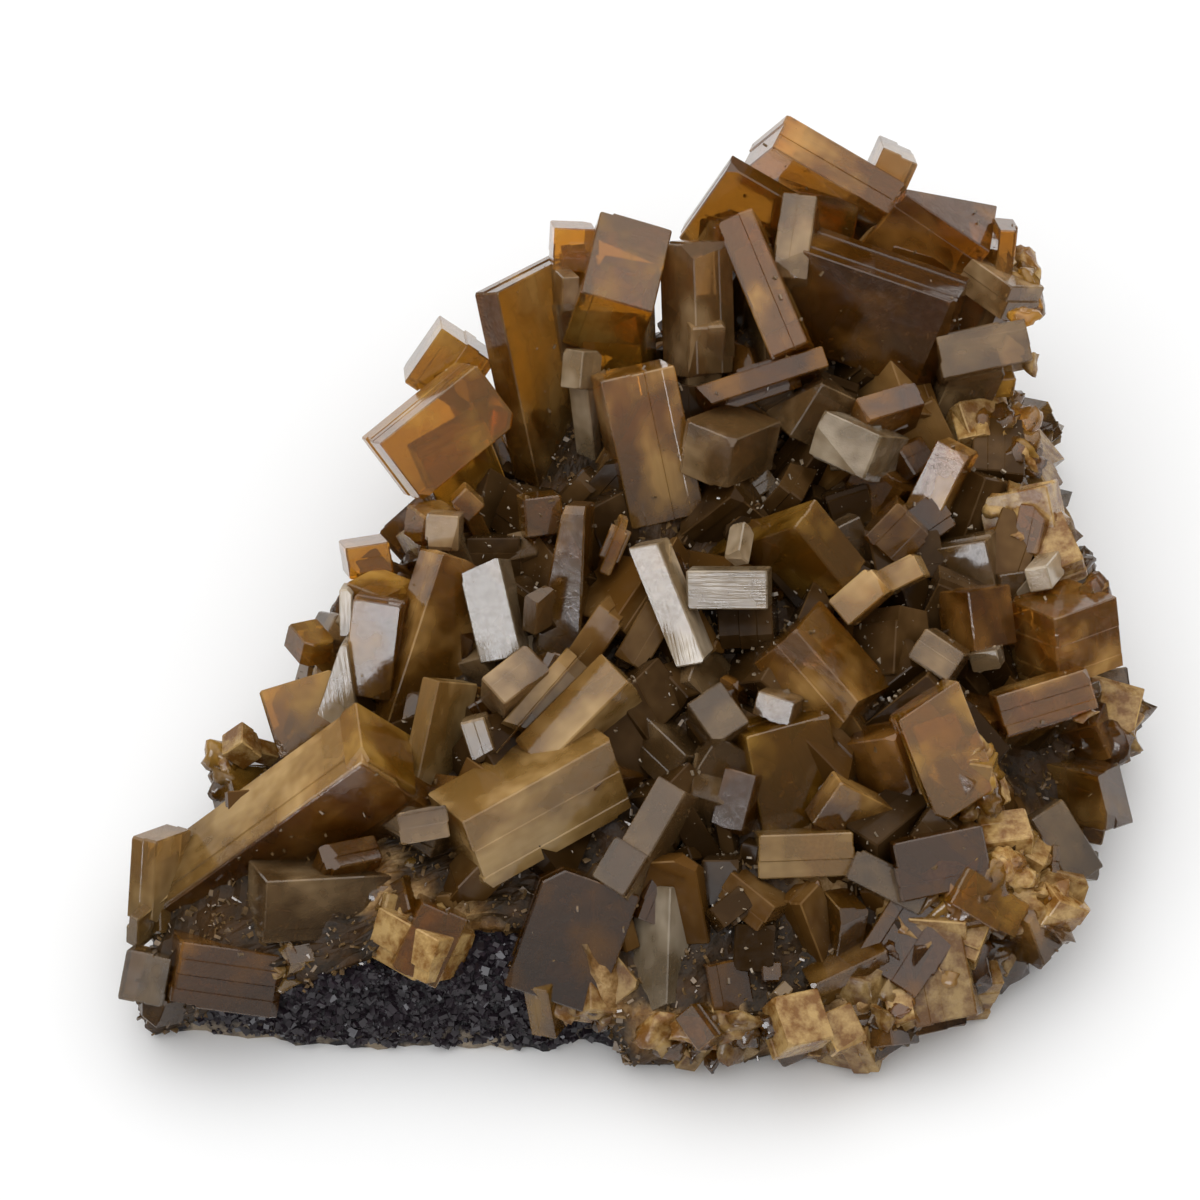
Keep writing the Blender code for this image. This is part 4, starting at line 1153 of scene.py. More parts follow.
class NodeDesk:
    """Makes a material's nodes with little writing."""

    def __init__(self, name: str) -> None:
        """Start a material.

        Args:
            name: the material's name.
        """
        self.material = bpy.data.materials.new(name)
        self.material.use_nodes = True
        self.tree = self.material.node_tree
        self.shader = self.tree.nodes["Principled BSDF"]
        self.out = self.tree.nodes["Material Output"]

    def add(self, kind: str, **values: object) -> bpy.types.Node:
        """Add a node; the values are its properties.

        Args:
            kind: the node's type.
            values: properties to set.

        Returns:
            The node.
        """
        node = self.tree.nodes.new(kind)
        for key, value in values.items():
            setattr(node, key, value)
        return node

    def join(self, source: object, target: object) -> None:
        """Link one socket to another."""
        self.tree.links.new(source, target)

    def place(self, scale: Triple = (1000.0, 1000.0, 1000.0)) -> object:
        """Give object coordinates, scaled so that one unit is a millimetre.

        Args:
            scale: the scale along each axis.

        Returns:
            The vector socket.
        """
        coordinates = self.add("ShaderNodeTexCoord")
        mapping = self.add("ShaderNodeMapping")
        mapping.inputs["Scale"].default_value = scale
        self.join(coordinates.outputs["Object"], mapping.inputs["Vector"])
        return mapping.outputs["Vector"]

    def grain(self, scale: Triple) -> object:
        """Give the crystal's own coordinates, stretched along its axes.

        Args:
            scale: the scale along the crystal's long, middle and short axis.

        Returns:
            The vector socket.
        """
        own = self.add("ShaderNodeAttribute", attribute_name="grain")
        mapping = self.add("ShaderNodeMapping")
        mapping.inputs["Scale"].default_value = scale
        self.join(own.outputs["Vector"], mapping.inputs["Vector"])
        return mapping.outputs["Vector"]

    def cloud(self, vector: object, scale: float, detail: float = 3.0, rough: float = 0.55) -> object:
        """Give a noise.

        Args:
            vector: where it is read.
            scale: its frequency.
            detail: its octaves.
            rough: how strong the fine octaves are.

        Returns:
            The noise's value socket.
        """
        node = self.add("ShaderNodeTexNoise")
        node.inputs["Scale"].default_value = scale
        node.inputs["Detail"].default_value = detail
        node.inputs["Roughness"].default_value = rough
        self.join(vector, node.inputs["Vector"])
        return node.outputs["Fac"]

    def spread(self, value: object, low: float, high: float, to_low: float, to_high: float) -> object:
        """Map a value from one range to another, clamped.

        Returns:
            The mapped value's socket.
        """
        node = self.add("ShaderNodeMapRange")
        for name, number in (("From Min", low), ("From Max", high), ("To Min", to_low), ("To Max", to_high)):
            node.inputs[name].default_value = number
        self.join(value, node.inputs["Value"])
        return node.outputs["Result"]

    def math(self, operation: str, first: object, second: object) -> object:
        """Combine two values.

        Args:
            operation: the operation's name.
            first: a socket or a number.
            second: a socket or a number.

        Returns:
            The result's socket.
        """
        node = self.add("ShaderNodeMath", operation=operation)
        for i, item in enumerate((first, second)):
            if isinstance(item, (int, float)):
                node.inputs[i].default_value = item
            else:
                self.join(item, node.inputs[i])
        return node.outputs[0]

    def blend(self, share: object, first: object, second: object, mode: str = "MIX") -> object:
        """Mix two colours.

        Args:
            share: how much of the second, a socket or a number.
            first: a colour or a socket.
            second: a colour or a socket.
            mode: how they mix.

        Returns:
            The colour socket.
        """
        node = self.add("ShaderNodeMix", data_type="RGBA", blend_type=mode)
        for i, item in ((0, share), (6, first), (7, second)):
            if isinstance(item, tuple):
                node.inputs[i].default_value = (*item, 1.0)
            elif isinstance(item, (int, float)):
                node.inputs[i].default_value = item
            else:
                self.join(item, node.inputs[i])
        return node.outputs[2]

    def bump(self, height: object, strength: float, distance: float, under: object = None) -> object:
        """Raise the surface by a value.

        Args:
            height: the value's socket.
            strength: how strong, 0 to 1.
            distance: the height of a full step, mm.
            under: another bump that this one rides on.

        Returns:
            The normal socket.
        """
        node = self.add("ShaderNodeBump")
        node.inputs["Strength"].default_value = strength
        node.inputs["Distance"].default_value = distance * MM
        self.join(height, node.inputs["Height"])
        if under is not None:
            self.join(under, node.inputs["Normal"])
        return node.outputs["Normal"]


@dataclass(frozen=True)
class BaritePaint:
    """How one sort of barite takes the light."""

    finish: Finish
    deep: Colour
    pale: Colour
    clear: float
    rough: Pair
    streak: float
    glow: Colour = (0.95, 0.72, 0.26)
    density: float = 120.0
    veil_passes: float = 0.45
    cloudy: Pair = (0.46, 0.66)
    gloss: float = 0.16
    # Painted shade: the colour darkens towards the crystal's foot, down to the darkest share at the lower of
    # these heights over the crust, and not at all above the upper.
    root_shade_heights: Pair = (-1.0, 9.0)
    root_shade_darkest: float = 0.4
    merged: bool = False

    def material(self) -> bpy.types.Material:
        """Build the material.

        Returns:
            A Principled material with cloudy veils, painted shade towards the crystal's foot, painted highlights
            along some edges, streaks along the crystal and fine relief.
        """
        desk = NodeDesk("barite_" + self.finish.value)
        place = desk.place()
        if self.merged:
            clouds = desk.cloud(place, 0.5, 4.0, 0.65)
        else:
            clouds = desk.cloud(desk.grain((0.12, 0.14, 0.15)), 1.0, 3.0)
        veils = desk.spread(clouds, *self.cloudy, 0.0, 1.0)
        bands = desk.cloud(desk.grain((0.25, 0.25, 2.2)), 1.0, 2.0)
        veiled = desk.math("MULTIPLY", veils, desk.spread(bands, 0.35, 0.65, 0.9, 1.0))
        colour = desk.blend(veiled, self.deep, self.pale)
        shade = desk.add("ShaderNodeAttribute", attribute_name="shade")
        lift = desk.add("ShaderNodeAttribute", attribute_name="lift")
        darker = desk.spread(shade.outputs["Fac"], -1.0, 1.0, 0.72, 1.25)
        # Painted shade: darker towards the crystal's foot, by its height over the crust.
        darker = desk.math("MULTIPLY", darker,
                           desk.spread(lift.outputs["Fac"], *self.root_shade_heights, self.root_shade_darkest, 1.0))
        tint = desk.add("ShaderNodeCombineColor")
        for name in ("Red", "Green", "Blue"):
            desk.join(darker, tint.inputs[name])
        colour = desk.blend(1.0, colour, tint.outputs["Color"], "MULTIPLY")
        # Painted highlight: the marked bevel faces take the pale colour, as bright lines that light draws along
        # some edges.
        edge_highlight = desk.add("ShaderNodeAttribute", attribute_name="edge_highlight")
        edge = desk.math("MULTIPLY", edge_highlight.outputs["Fac"], desk.spread(bands, 0.4, 0.6, 0.2, 0.9))
        colour = desk.blend(edge, colour, self.pale)
        desk.join(colour, desk.shader.inputs["Base Color"])

        frost = desk.cloud(place, 0.9, 3.0, 0.65)
        desk.join(desk.spread(frost, 0.35, 0.7, *self.rough), desk.shader.inputs["Roughness"])
        if self.streak > 0.0:
            streaks = desk.cloud(desk.grain((0.2, 4.0, 4.0)), 1.0, 2.0, 0.6)
            normal = desk.bump(streaks, self.streak, 0.10)
        else:
            normal = desk.bump(frost, 0.25, 0.25 if self.merged else 0.06)
        desk.join(normal, desk.shader.inputs["Normal"])

        if self.clear > 0.0:
            passing = desk.spread(veiled, 0.0, 1.0, self.clear, self.clear * self.veil_passes)
            desk.join(passing, desk.shader.inputs["Transmission Weight"])
        desk.shader.inputs["Specular IOR Level"].default_value = self.gloss
        desk.shader.inputs["IOR"].default_value = 1.64
        if self.clear > 0.0:
            absorb = desk.add("ShaderNodeVolumeAbsorption")
            absorb.inputs["Color"].default_value = (*self.glow, 1.0)
            absorb.inputs["Density"].default_value = self.density
            desk.join(absorb.outputs["Volume"], desk.out.inputs["Volume"])
        return desk.material


PAINTS = (
    BaritePaint(HONEY, (0.43, 0.180, 0.022), (0.59, 0.33, 0.098), 0.80, (0.06, 0.18), 0.0),
    BaritePaint(AMBER, (0.54, 0.240, 0.022), (0.59, 0.33, 0.068), 0.80, (0.06, 0.18), 0.0),
    BaritePaint(UMBER, (0.30, 0.115, 0.014), (0.38, 0.17, 0.036), 0.80, (0.06, 0.18), 0.0),
    BaritePaint(SMOKE, (0.35, 0.195, 0.072), (0.47, 0.31, 0.155), 0.75, (0.08, 0.22), 0.10,
                glow=(0.93, 0.72, 0.38)),
    BaritePaint(PEARL, (0.40, 0.28, 0.150), (0.62, 0.50, 0.350), 0.60, (0.08, 0.24), 0.32,
                glow=(0.92, 0.80, 0.56), density=130.0, gloss=0.5, root_shade_heights=(-3.0, 4.0), root_shade_darkest=0.6),
    BaritePaint(PEACH, (0.58, 0.310, 0.078), (0.72, 0.47, 0.195), 0.65, (0.07, 0.20), 0.0,
                glow=(0.95, 0.76, 0.36)),
    BaritePaint(CREAM, (0.22, 0.092, 0.016), (0.56, 0.36, 0.135), 0.0, (0.14, 0.40), 0.0,
                cloudy=(0.40, 0.62), root_shade_darkest=0.6, gloss=0.22, merged=True),
    BaritePaint(LOAM, (0.105, 0.046, 0.009), (0.200, 0.107, 0.034), 0.0, (0.08, 0.30), 0.0,
                root_shade_heights=(-2.0, 5.0), gloss=0.08),
    BaritePaint(DUSK, (0.040, 0.019, 0.005), (0.094, 0.050, 0.018), 0.0, (0.08, 0.30), 0.0,
                root_shade_darkest=0.35, root_shade_heights=(-2.0, 5.0), gloss=0.06),
)


@dataclass
class CrystalCluster:
    """All the crystals, gathered into one piece for each finish."""

    crust: bpy.types.Object
    growth: Growth = field(default_factory=Growth)

    def build(self) -> dict[Finish, bpy.types.Object]:
        """Shape and dress every crystal.

        Returns:
            The pieces by finish.
        """
        heaps = {finish: MeshHeap() for finish in Finish}
        picker = random.Random(SEED + 2)
        blocks = self.growth.all_blocks()
        blocks += Infill(blocks).grow()
        for block in blocks + Rubble(self.crust, blocks).break_up():
            shape = CrystalShape(block, picker, layer=9.0 if block.finish is PEARL else 1.6)
            heaps[block.finish].add(shape.lump() if block.broken else shape.mesh(), block, picker)
        pieces = {}
        for paint in PAINTS:
            piece = heaps[paint.finish].finish("crystals_" + paint.finish.value)
            dress(piece, paint.material(), CLUSTER_NODE)
            pieces[paint.finish] = piece
        return pieces


def ring_mesh(name: str, rings: list[list[Vector]], low: Vector, top: Vector) -> bpy.types.Object:
    """Close a stack of rings into a solid.

    Args:
        name: the object's name.
        rings: equal rings of points from the underside up, mm.
        low: middle point of the underside.
        top: middle point of the top.

    Returns:
        The object.
    """
    mesh = bmesh.new()
    loops = [[mesh.verts.new(point * MM) for point in ring] for ring in rings]
    count = len(loops[0])
    for lower, upper in zip(loops, loops[1:]):
        for i in range(count):
            j = (i + 1) % count
            mesh.faces.new((lower[i], lower[j], upper[j], upper[i]))
    below = mesh.verts.new(low * MM)
    above = mesh.verts.new(top * MM)
    for i in range(count):
        j = (i + 1) % count
        mesh.faces.new((below, loops[0][j], loops[0][i]))
        mesh.faces.new((above, loops[-1][i], loops[-1][j]))
    bmesh.ops.recalc_face_normals(mesh, faces=mesh.faces)
    data = bpy.data.meshes.new(name)
    mesh.to_mesh(data)
    mesh.free()
    return link(bpy.data.objects.new(name, data))


@dataclass
class Crust:
    """The sugary barite crust that the crystals stand on."""

    sides: int = 300
    rows: int = 64
    walls: int = 14
    lump: float = 1.3
    grit: float = 0.22
    gloss: float = 0.2

    def relief(self, x: float, y: float, z: float) -> float:
        """Give the fine relief of the crust at a place, mm."""
        cells = noise.voronoi(Vector((x, y, z)) / 3.4)[0]
        small = noise.voronoi(Vector((y, z, x)) / 1.5)[0]
        relief = self.lump * (0.45 - cells[0]) + 0.4 * self.lump * (0.4 - small[0])
        return relief + self.grit * bumps(x, y, z + 5.0, 0.9)

    def rings(self) -> list[list[Vector]]:
        """Draw the crust's rings, from its lower rim up and inwards.

        Returns:
            The rings, mm.
        """
        angles = [2.0 * math.pi * i / self.sides for i in range(self.sides)]
        outlines = [PLATE.radius(angle) for angle in angles]
        rings = []
        for row in range(self.walls + 1):
            share = row / self.walls
            spread = 0.5 + 1.4 * share - 1.55 * share * share
            ring = []
            for angle, outline in zip(angles, outlines):
                bare = PLATE.bare(angle)
                outward = PLATE.skirt * spread * (1.0 - bare) - PLATE.crust_inset(angle, outline)
                x, y = PLATE.at(angle, outline + outward)
                top = PLATE.crust_top(x, y) - 0.8
                low = PLATE.lowest + bare * (PLATE.rock_top(x, y) - 1.5 - PLATE.lowest)
                z = low + (top - low) * share
                rough = 0.9 * bumps(x, y, z * 2.0, 4.0) + self.relief(x, y, z)
                x, y = PLATE.at(angle, outline + outward + rough)
                ring.append(Vector((x, y, z)))
            rings.append(ring)
        for row in range(1, self.rows):
            share = 1.0 - row / self.rows
            ring = []
            for angle, outline in zip(angles, outlines):
                x, y = PLATE.at(angle, (outline - PLATE.crust_inset(angle, outline)) * share)
                ring.append(Vector((x, y, PLATE.crust_top(x, y) + self.relief(x, y, 0.0))))
            rings.append(ring)
        return rings

    def material(self) -> bpy.types.Material:
        """Build the crust's material: grey-brown in the hollows, cream where it is bare.

        Returns:
            The material.
        """
        desk = NodeDesk("barite_crust")
        place = desk.place()
        coarse = desk.cloud(place, 0.35, 4.0)
        fine = desk.cloud(place, 2.4, 4.0, 0.7)
        dark = desk.blend(desk.spread(fine, 0.35, 0.7, 0.0, 1.0), (0.012, 0.007, 0.003), (0.045, 0.027, 0.012))
        warm = desk.blend(desk.spread(coarse, 0.40, 0.65, 0.0, 0.8), dark, (0.060, 0.027, 0.007))
        cream = desk.add("ShaderNodeAttribute", attribute_name="cream")
        amber = desk.blend(desk.spread(fine, 0.3, 0.7, 0.0, 1.0), (0.10, 0.042, 0.009), (0.24, 0.120, 0.032))
        pale = desk.blend(desk.spread(fine, 0.3, 0.7, 0.0, 1.0), (0.26, 0.135, 0.038), (0.56, 0.38, 0.18))
        pale = desk.blend(desk.spread(desk.cloud(place, 0.28, 3.0), 0.42, 0.62, 0.0, 1.0), amber, pale)
        colour = desk.blend(cream.outputs["Fac"], warm, pale)
        desk.join(colour, desk.shader.inputs["Base Color"])
        desk.join(desk.spread(fine, 0.3, 0.7, 0.25, 0.6), desk.shader.inputs["Roughness"])
        desk.shader.inputs["Specular IOR Level"].default_value = self.gloss
        desk.join(desk.bump(fine, 0.7, 0.15), desk.shader.inputs["Normal"])
        return desk.material

    def build(self) -> bpy.types.Object:
        """Make the crust.

        Returns:
            The piece.
        """
        centre = Vector((*PLATE.centre, 0.0))
        low = centre + Vector((0.0, 0.0, PLATE.rock_top(centre.x, centre.y) - 4.0))
        top = centre + Vector((0.0, 0.0, PLATE.crust_top(centre.x, centre.y)))
        piece = ring_mesh("crust", self.rings(), low, top)
        self.mark(piece)
        dress(piece, self.material(), CLUSTER_NODE)
        return piece

    def mark(self, piece: bpy.types.Object) -> None:
        """Write how creamy and how sparkling each point of the crust is.

        Args:
            piece: the crust.
        """
        creams, sparkles = [], []
        for vert in piece.data.vertices:
            cream = cream_share(vert.co / MM)
            creams.append(cream)
            sparkles.append(1.0 - cream)
        piece.data.attributes.new("cream", "FLOAT", "POINT").data.foreach_set("value", creams)
        piece.data.attributes.new("sparkle", "FLOAT", "POINT").data.foreach_set("value", sparkles)


# The places where the crust shows cream: right of and above the view's middle, and how far, mm.
CREAM_PATCHES = (
    ((42.8, 33.5), 3.5), ((42.5, 19.0), 4.5), ((42.0, 9.0), 5.5), ((46.5, 7.0), 4.5),
    ((49.0, 1.5), 4.0), ((50.5, -12.5), 4.0), ((38.0, -18.0), 3.5), ((41.5, -24.0), 4.0),
    ((44.5, -29.0), 4.5), ((38.5, -33.0), 6.0), ((32.0, -38.0), 6.5), ((27.0, -42.0), 5.0),
    ((20.0, -43.5), 4.0), ((12.0, -43.5), 4.0), ((6.0, -43.0), 3.5), ((-1.0, -39.0), 4.5),
    ((-8.0, -36.0), 3.5), ((-14.0, -35.0), 5.5), ((-19.0, -31.0), 4.0), ((-23.0, -28.0), 4.0),
    ((22.0, -26.0), 4.5), ((-38.5, -16.5), 3.0), ((36.0, 4.0), 3.0), ((33.0, -20.0), 2.5),
)


def cream_share(point: Vector) -> float:
    """Tell how creamy the crust is at a point.

    Args:
        point: a place on the crust, mm.

    Returns:
        0 for dark, 1 for cream.
    """
    across, above = VIEW.seen_at(point)
    ragged = 1.6 * bumps(point.x, point.y, point.z, 2.5)
    best = 0.0
    for (right, up), reach in CREAM_PATCHES:
        away = math.hypot(across - right, above - up) + ragged
        best = max(best, 1.0 - max(0.0, away - 0.6 * reach) / (0.4 * reach))
    angle, share = PLATE.place(point.x, point.y)
    if math.sin(angle) > -0.1 and share > 0.93:
        best = max(best, min(1.0, 0.5 + 1.2 * bumps(point.x, point.y, point.z, 7.0)))
    return min(max(best, 0.0), 1.0)


@dataclass
class Rock:
    """The dark granular slab under the crust."""

    sides: int = 420
    walls: int = 34
    lump: float = 1.5
    grit: float = 0.5
    pale_below: Pair = (1.0, 3.2)
    grains_from: float = 0.72
    grains_above: float = 0.9
    gloss: float = 0.25

    def rings(self) -> list[list[Vector]]:
        """Draw the slab's rings.

        Returns:
            The rings from the underside up, mm.
        """
        angles = [2.0 * math.pi * i / self.sides for i in range(self.sides)]
        outlines = [PLATE.radius(angle) for angle in angles]
        rings = [[Vector((*PLATE.at(angle, outline - 3.0), 0.0)) for angle, outline in zip(angles, outlines)]]
        for row in range(self.walls + 1):
            share = row / self.walls
            inset = 1.6 - 2.6 * share + 2.4 * share * share
            ring = []
            for angle, outline in zip(angles, outlines):
                radius = outline - inset - PLATE.bare_slope * share * PLATE.bare(angle)
                x, y = PLATE.at(angle, radius)
                z = PLATE.rock_top(x, y) * share
                cells = noise.voronoi(Vector((x, y, z)) / 2.6)[0]
                small = noise.voronoi(Vector((z, x, y)) / 1.1)[0]
                rough = 0.9 * bumps(x, y, z * 2.0, 3.5) * min(share * 6.0, 1.0)
                rough += self.lump * (0.4 - cells[0]) + self.grit * (0.4 - small[0])
                x, y = PLATE.at(angle, radius + rough)
                ring.append(Vector((x, y, z)))
            rings.append(ring)
        for share in (0.985, 0.97, 0.955, 0.94, 0.925, 0.91, 0.895, 0.88, 0.865, 0.85, 0.83, 0.8, 0.6, 0.3):
            ring = []
            for angle, outline in zip(angles, outlines):
                bare = PLATE.bare(angle)
                x, y = PLATE.at(angle, (outline - 1.2 - PLATE.bare_slope * bare) * share)
                cells = noise.voronoi(Vector((x, y, 0.0)) / 2.6)[0]
                small = noise.voronoi(Vector((y, x, 0.0)) / 1.1)[0]
                rough = self.lump * (0.4 - cells[0]) + self.grit * (0.4 - small[0])
                ring.append(Vector((x, y, PLATE.rock_top(x, y) + bare * (rough + 0.6))))
            rings.append(ring)
        return rings

    def mark(self, piece: bpy.types.Object) -> None:
        """Write where loose grains show: on the bare front.

        Args:
            piece: the slab.
        """
        grains = []
        for vert in piece.data.vertices:
            point = vert.co / MM
            angle, share = PLATE.place(point.x, point.y)
            shows = share > self.grains_from and point.z > self.grains_above
            grains.append(PLATE.bare(angle) if shows else 0.0)
        piece.data.attributes.new("grains", "FLOAT", "POINT").data.foreach_set("value", grains)

    def material(self) -> bpy.types.Material:
        """Build the rock's material: purple-black grains with grey flecks.

        Returns:
            The material.
        """
        desk = NodeDesk("dark_rock")
        place = desk.place()
        coarse = desk.cloud(place, 0.3, 4.0)
        fine = desk.cloud(place, 2.2, 5.0, 0.7)
        dark = desk.blend(desk.spread(fine, 0.4, 0.7, 0.0, 1.0), (0.005, 0.004, 0.005), (0.020, 0.016, 0.020))
        purple = desk.blend(desk.spread(coarse, 0.45, 0.6, 0.0, 0.6), dark, (0.020, 0.012, 0.018))
        flecks = desk.spread(desk.cloud(place, 1.4, 3.0, 0.8), 0.64, 0.72, 0.0, 0.35)
        colour = desk.blend(flecks, purple, (0.16, 0.14, 0.12))
        split = desk.add("ShaderNodeSeparateXYZ")
        desk.join(place, split.inputs["Vector"])
        low = desk.spread(split.outputs["Z"], *self.pale_below, 1.0, 0.0)
        crumbs = desk.math("MULTIPLY", low, desk.spread(coarse, 0.44, 0.56, 0.0, 1.0))
        colour = desk.blend(crumbs, colour, (0.33, 0.26, 0.18))
        desk.join(colour, desk.shader.inputs["Base Color"])
        desk.join(desk.spread(fine, 0.3, 0.7, 0.22, 0.65), desk.shader.inputs["Roughness"])
        desk.shader.inputs["Specular IOR Level"].default_value = self.gloss
        desk.join(desk.bump(fine, 0.8, 0.2), desk.shader.inputs["Normal"])
        return desk.material

    def build(self) -> bpy.types.Object:
        """Make the slab.

        Returns:
            The piece.
        """
        centre = Vector((*PLATE.centre, 0.0))
        top = Vector((centre.x, centre.y, PLATE.rock_top(centre.x, centre.y)))
        piece = ring_mesh("rock", self.rings(), centre, top)
        self.mark(piece)
        dress(piece, self.material(), ROCK_NODE)
        return piece


@dataclass(frozen=True)
class SoftBox:
    """A square studio light: where it stands seen from the plate, its size and how bright it is."""

    name: str
    azimuth: float
    elevation: float
    distance: float
    width: float
    height: float
    radiance: float
    colour: Colour = (1.0, 1.0, 1.0)

    def build(self) -> None:
        """Hang the light."""
        azimuth = math.radians(self.azimuth)
        elevation = math.radians(self.elevation)
        way = Vector((math.sin(azimuth) * math.cos(elevation),
                      math.cos(azimuth) * math.cos(elevation), math.sin(elevation)))
        data = bpy.data.lights.new(self.name, "AREA")
        data.shape = "RECTANGLE"
        data.size = self.width * MM
        data.size_y = self.height * MM
        data.energy = self.radiance * math.pi * data.size * data.size_y
        data.color = self.colour
        lamp = link(bpy.data.objects.new(self.name, data))
        lamp.visible_diffuse = False
        lamp.location = way * self.distance * MM
        lamp.rotation_euler = way.to_track_quat("Z", "Y").to_euler()


@dataclass
class Studio:
    """The pale table, the soft light and the camera."""

    boxes: tuple[SoftBox, ...] = (
        SoftBox("window", -150.0, 27.0, 520.0, 300.0, 200.0, 7.0, (0.94, 0.96, 1.0)),
    )
    low_sky: float = 0.22
    high_sky: float = 1.65
    sky_rises: Pair = (0.35, 0.80)
    bright_side: Triple = (-0.25, 0.35, 0.0)
    table: float = 4000.0
    bounces: int = 5

    def sky(self) -> None:
        """Light the room: dark round the table, bright overhead and a little brighter behind."""
        world = bpy.data.worlds.new("sky")
        world.use_nodes = True
        tree = world.node_tree
        way = tree.nodes.new("ShaderNodeTexCoord")
        split = tree.nodes.new("ShaderNodeSeparateXYZ")
        tree.links.new(way.outputs["Generated"], split.inputs["Vector"])
        rise = tree.nodes.new("ShaderNodeMapRange")
        rise.interpolation_type = "SMOOTHSTEP"
        for name, value in zip(("From Min", "From Max"), self.sky_rises):
            rise.inputs[name].default_value = value
        rise.inputs["To Min"].default_value = self.low_sky
        rise.inputs["To Max"].default_value = self.high_sky
        tree.links.new(split.outputs["Z"], rise.inputs["Value"])
        side = tree.nodes.new("ShaderNodeVectorMath")
        side.operation = "DOT_PRODUCT"
        side.inputs[1].default_value = self.bright_side
        tree.links.new(way.outputs["Generated"], side.inputs[0])
        more = tree.nodes.new("ShaderNodeMath")
        more.operation = "ADD"
        more.inputs[1].default_value = 1.0
        tree.links.new(side.outputs["Value"], more.inputs[0])
        strength = tree.nodes.new("ShaderNodeMath")
        strength.operation = "MULTIPLY"
        tree.links.new(rise.outputs["Result"], strength.inputs[0])
        tree.links.new(more.outputs[0], strength.inputs[1])
        background = tree.nodes["Background"]
        background.inputs["Color"].default_value = (1.0, 1.0, 1.0, 1.0)
        tree.links.new(strength.outputs[0], background.inputs["Strength"])
        bpy.context.scene.world = world

    def build(self) -> None:
        """Set the table, the lights, the sky and the camera."""
        light = bpy.context.scene.cycles
        light.max_bounces = self.bounces
        light.transmission_bounces = self.bounces
        light.diffuse_bounces = 3
        light.glossy_bounces = 3
        data = bpy.data.meshes.new("table")
        half = self.table / 2.0 * MM
        corners = [(-half, -half, 0.0), (half, -half, 0.0), (half, half, 0.0), (-half, half, 0.0)]
        data.from_pydata(corners, [], [(0, 1, 2, 3)])
        table = link(bpy.data.objects.new("table", data))
        desk = NodeDesk("white_table")
        desk.shader.inputs["Base Color"].default_value = (0.90, 0.90, 0.90, 1.0)
        desk.shader.inputs["Roughness"].default_value = 0.8
        table.data.materials.append(desk.material)
        for box in self.boxes:
            box.build()
        self.sky()
        bpy.context.scene.view_settings.view_transform = "Standard"
        self.camera()

    def camera(self) -> None:
        """Set up the camera at the measuring view."""
        data = bpy.data.cameras.new("camera")
        data.lens = VIEW.lens
        data.sensor_width = VIEW.sensor
        data.clip_start = 0.01
        camera = link(bpy.data.objects.new("camera", data))
        camera.location = VIEW.eye() * MM
        camera.rotation_euler = VIEW.axes()[2].to_track_quat("Z", "Y").to_euler()
        bpy.context.scene.camera = camera


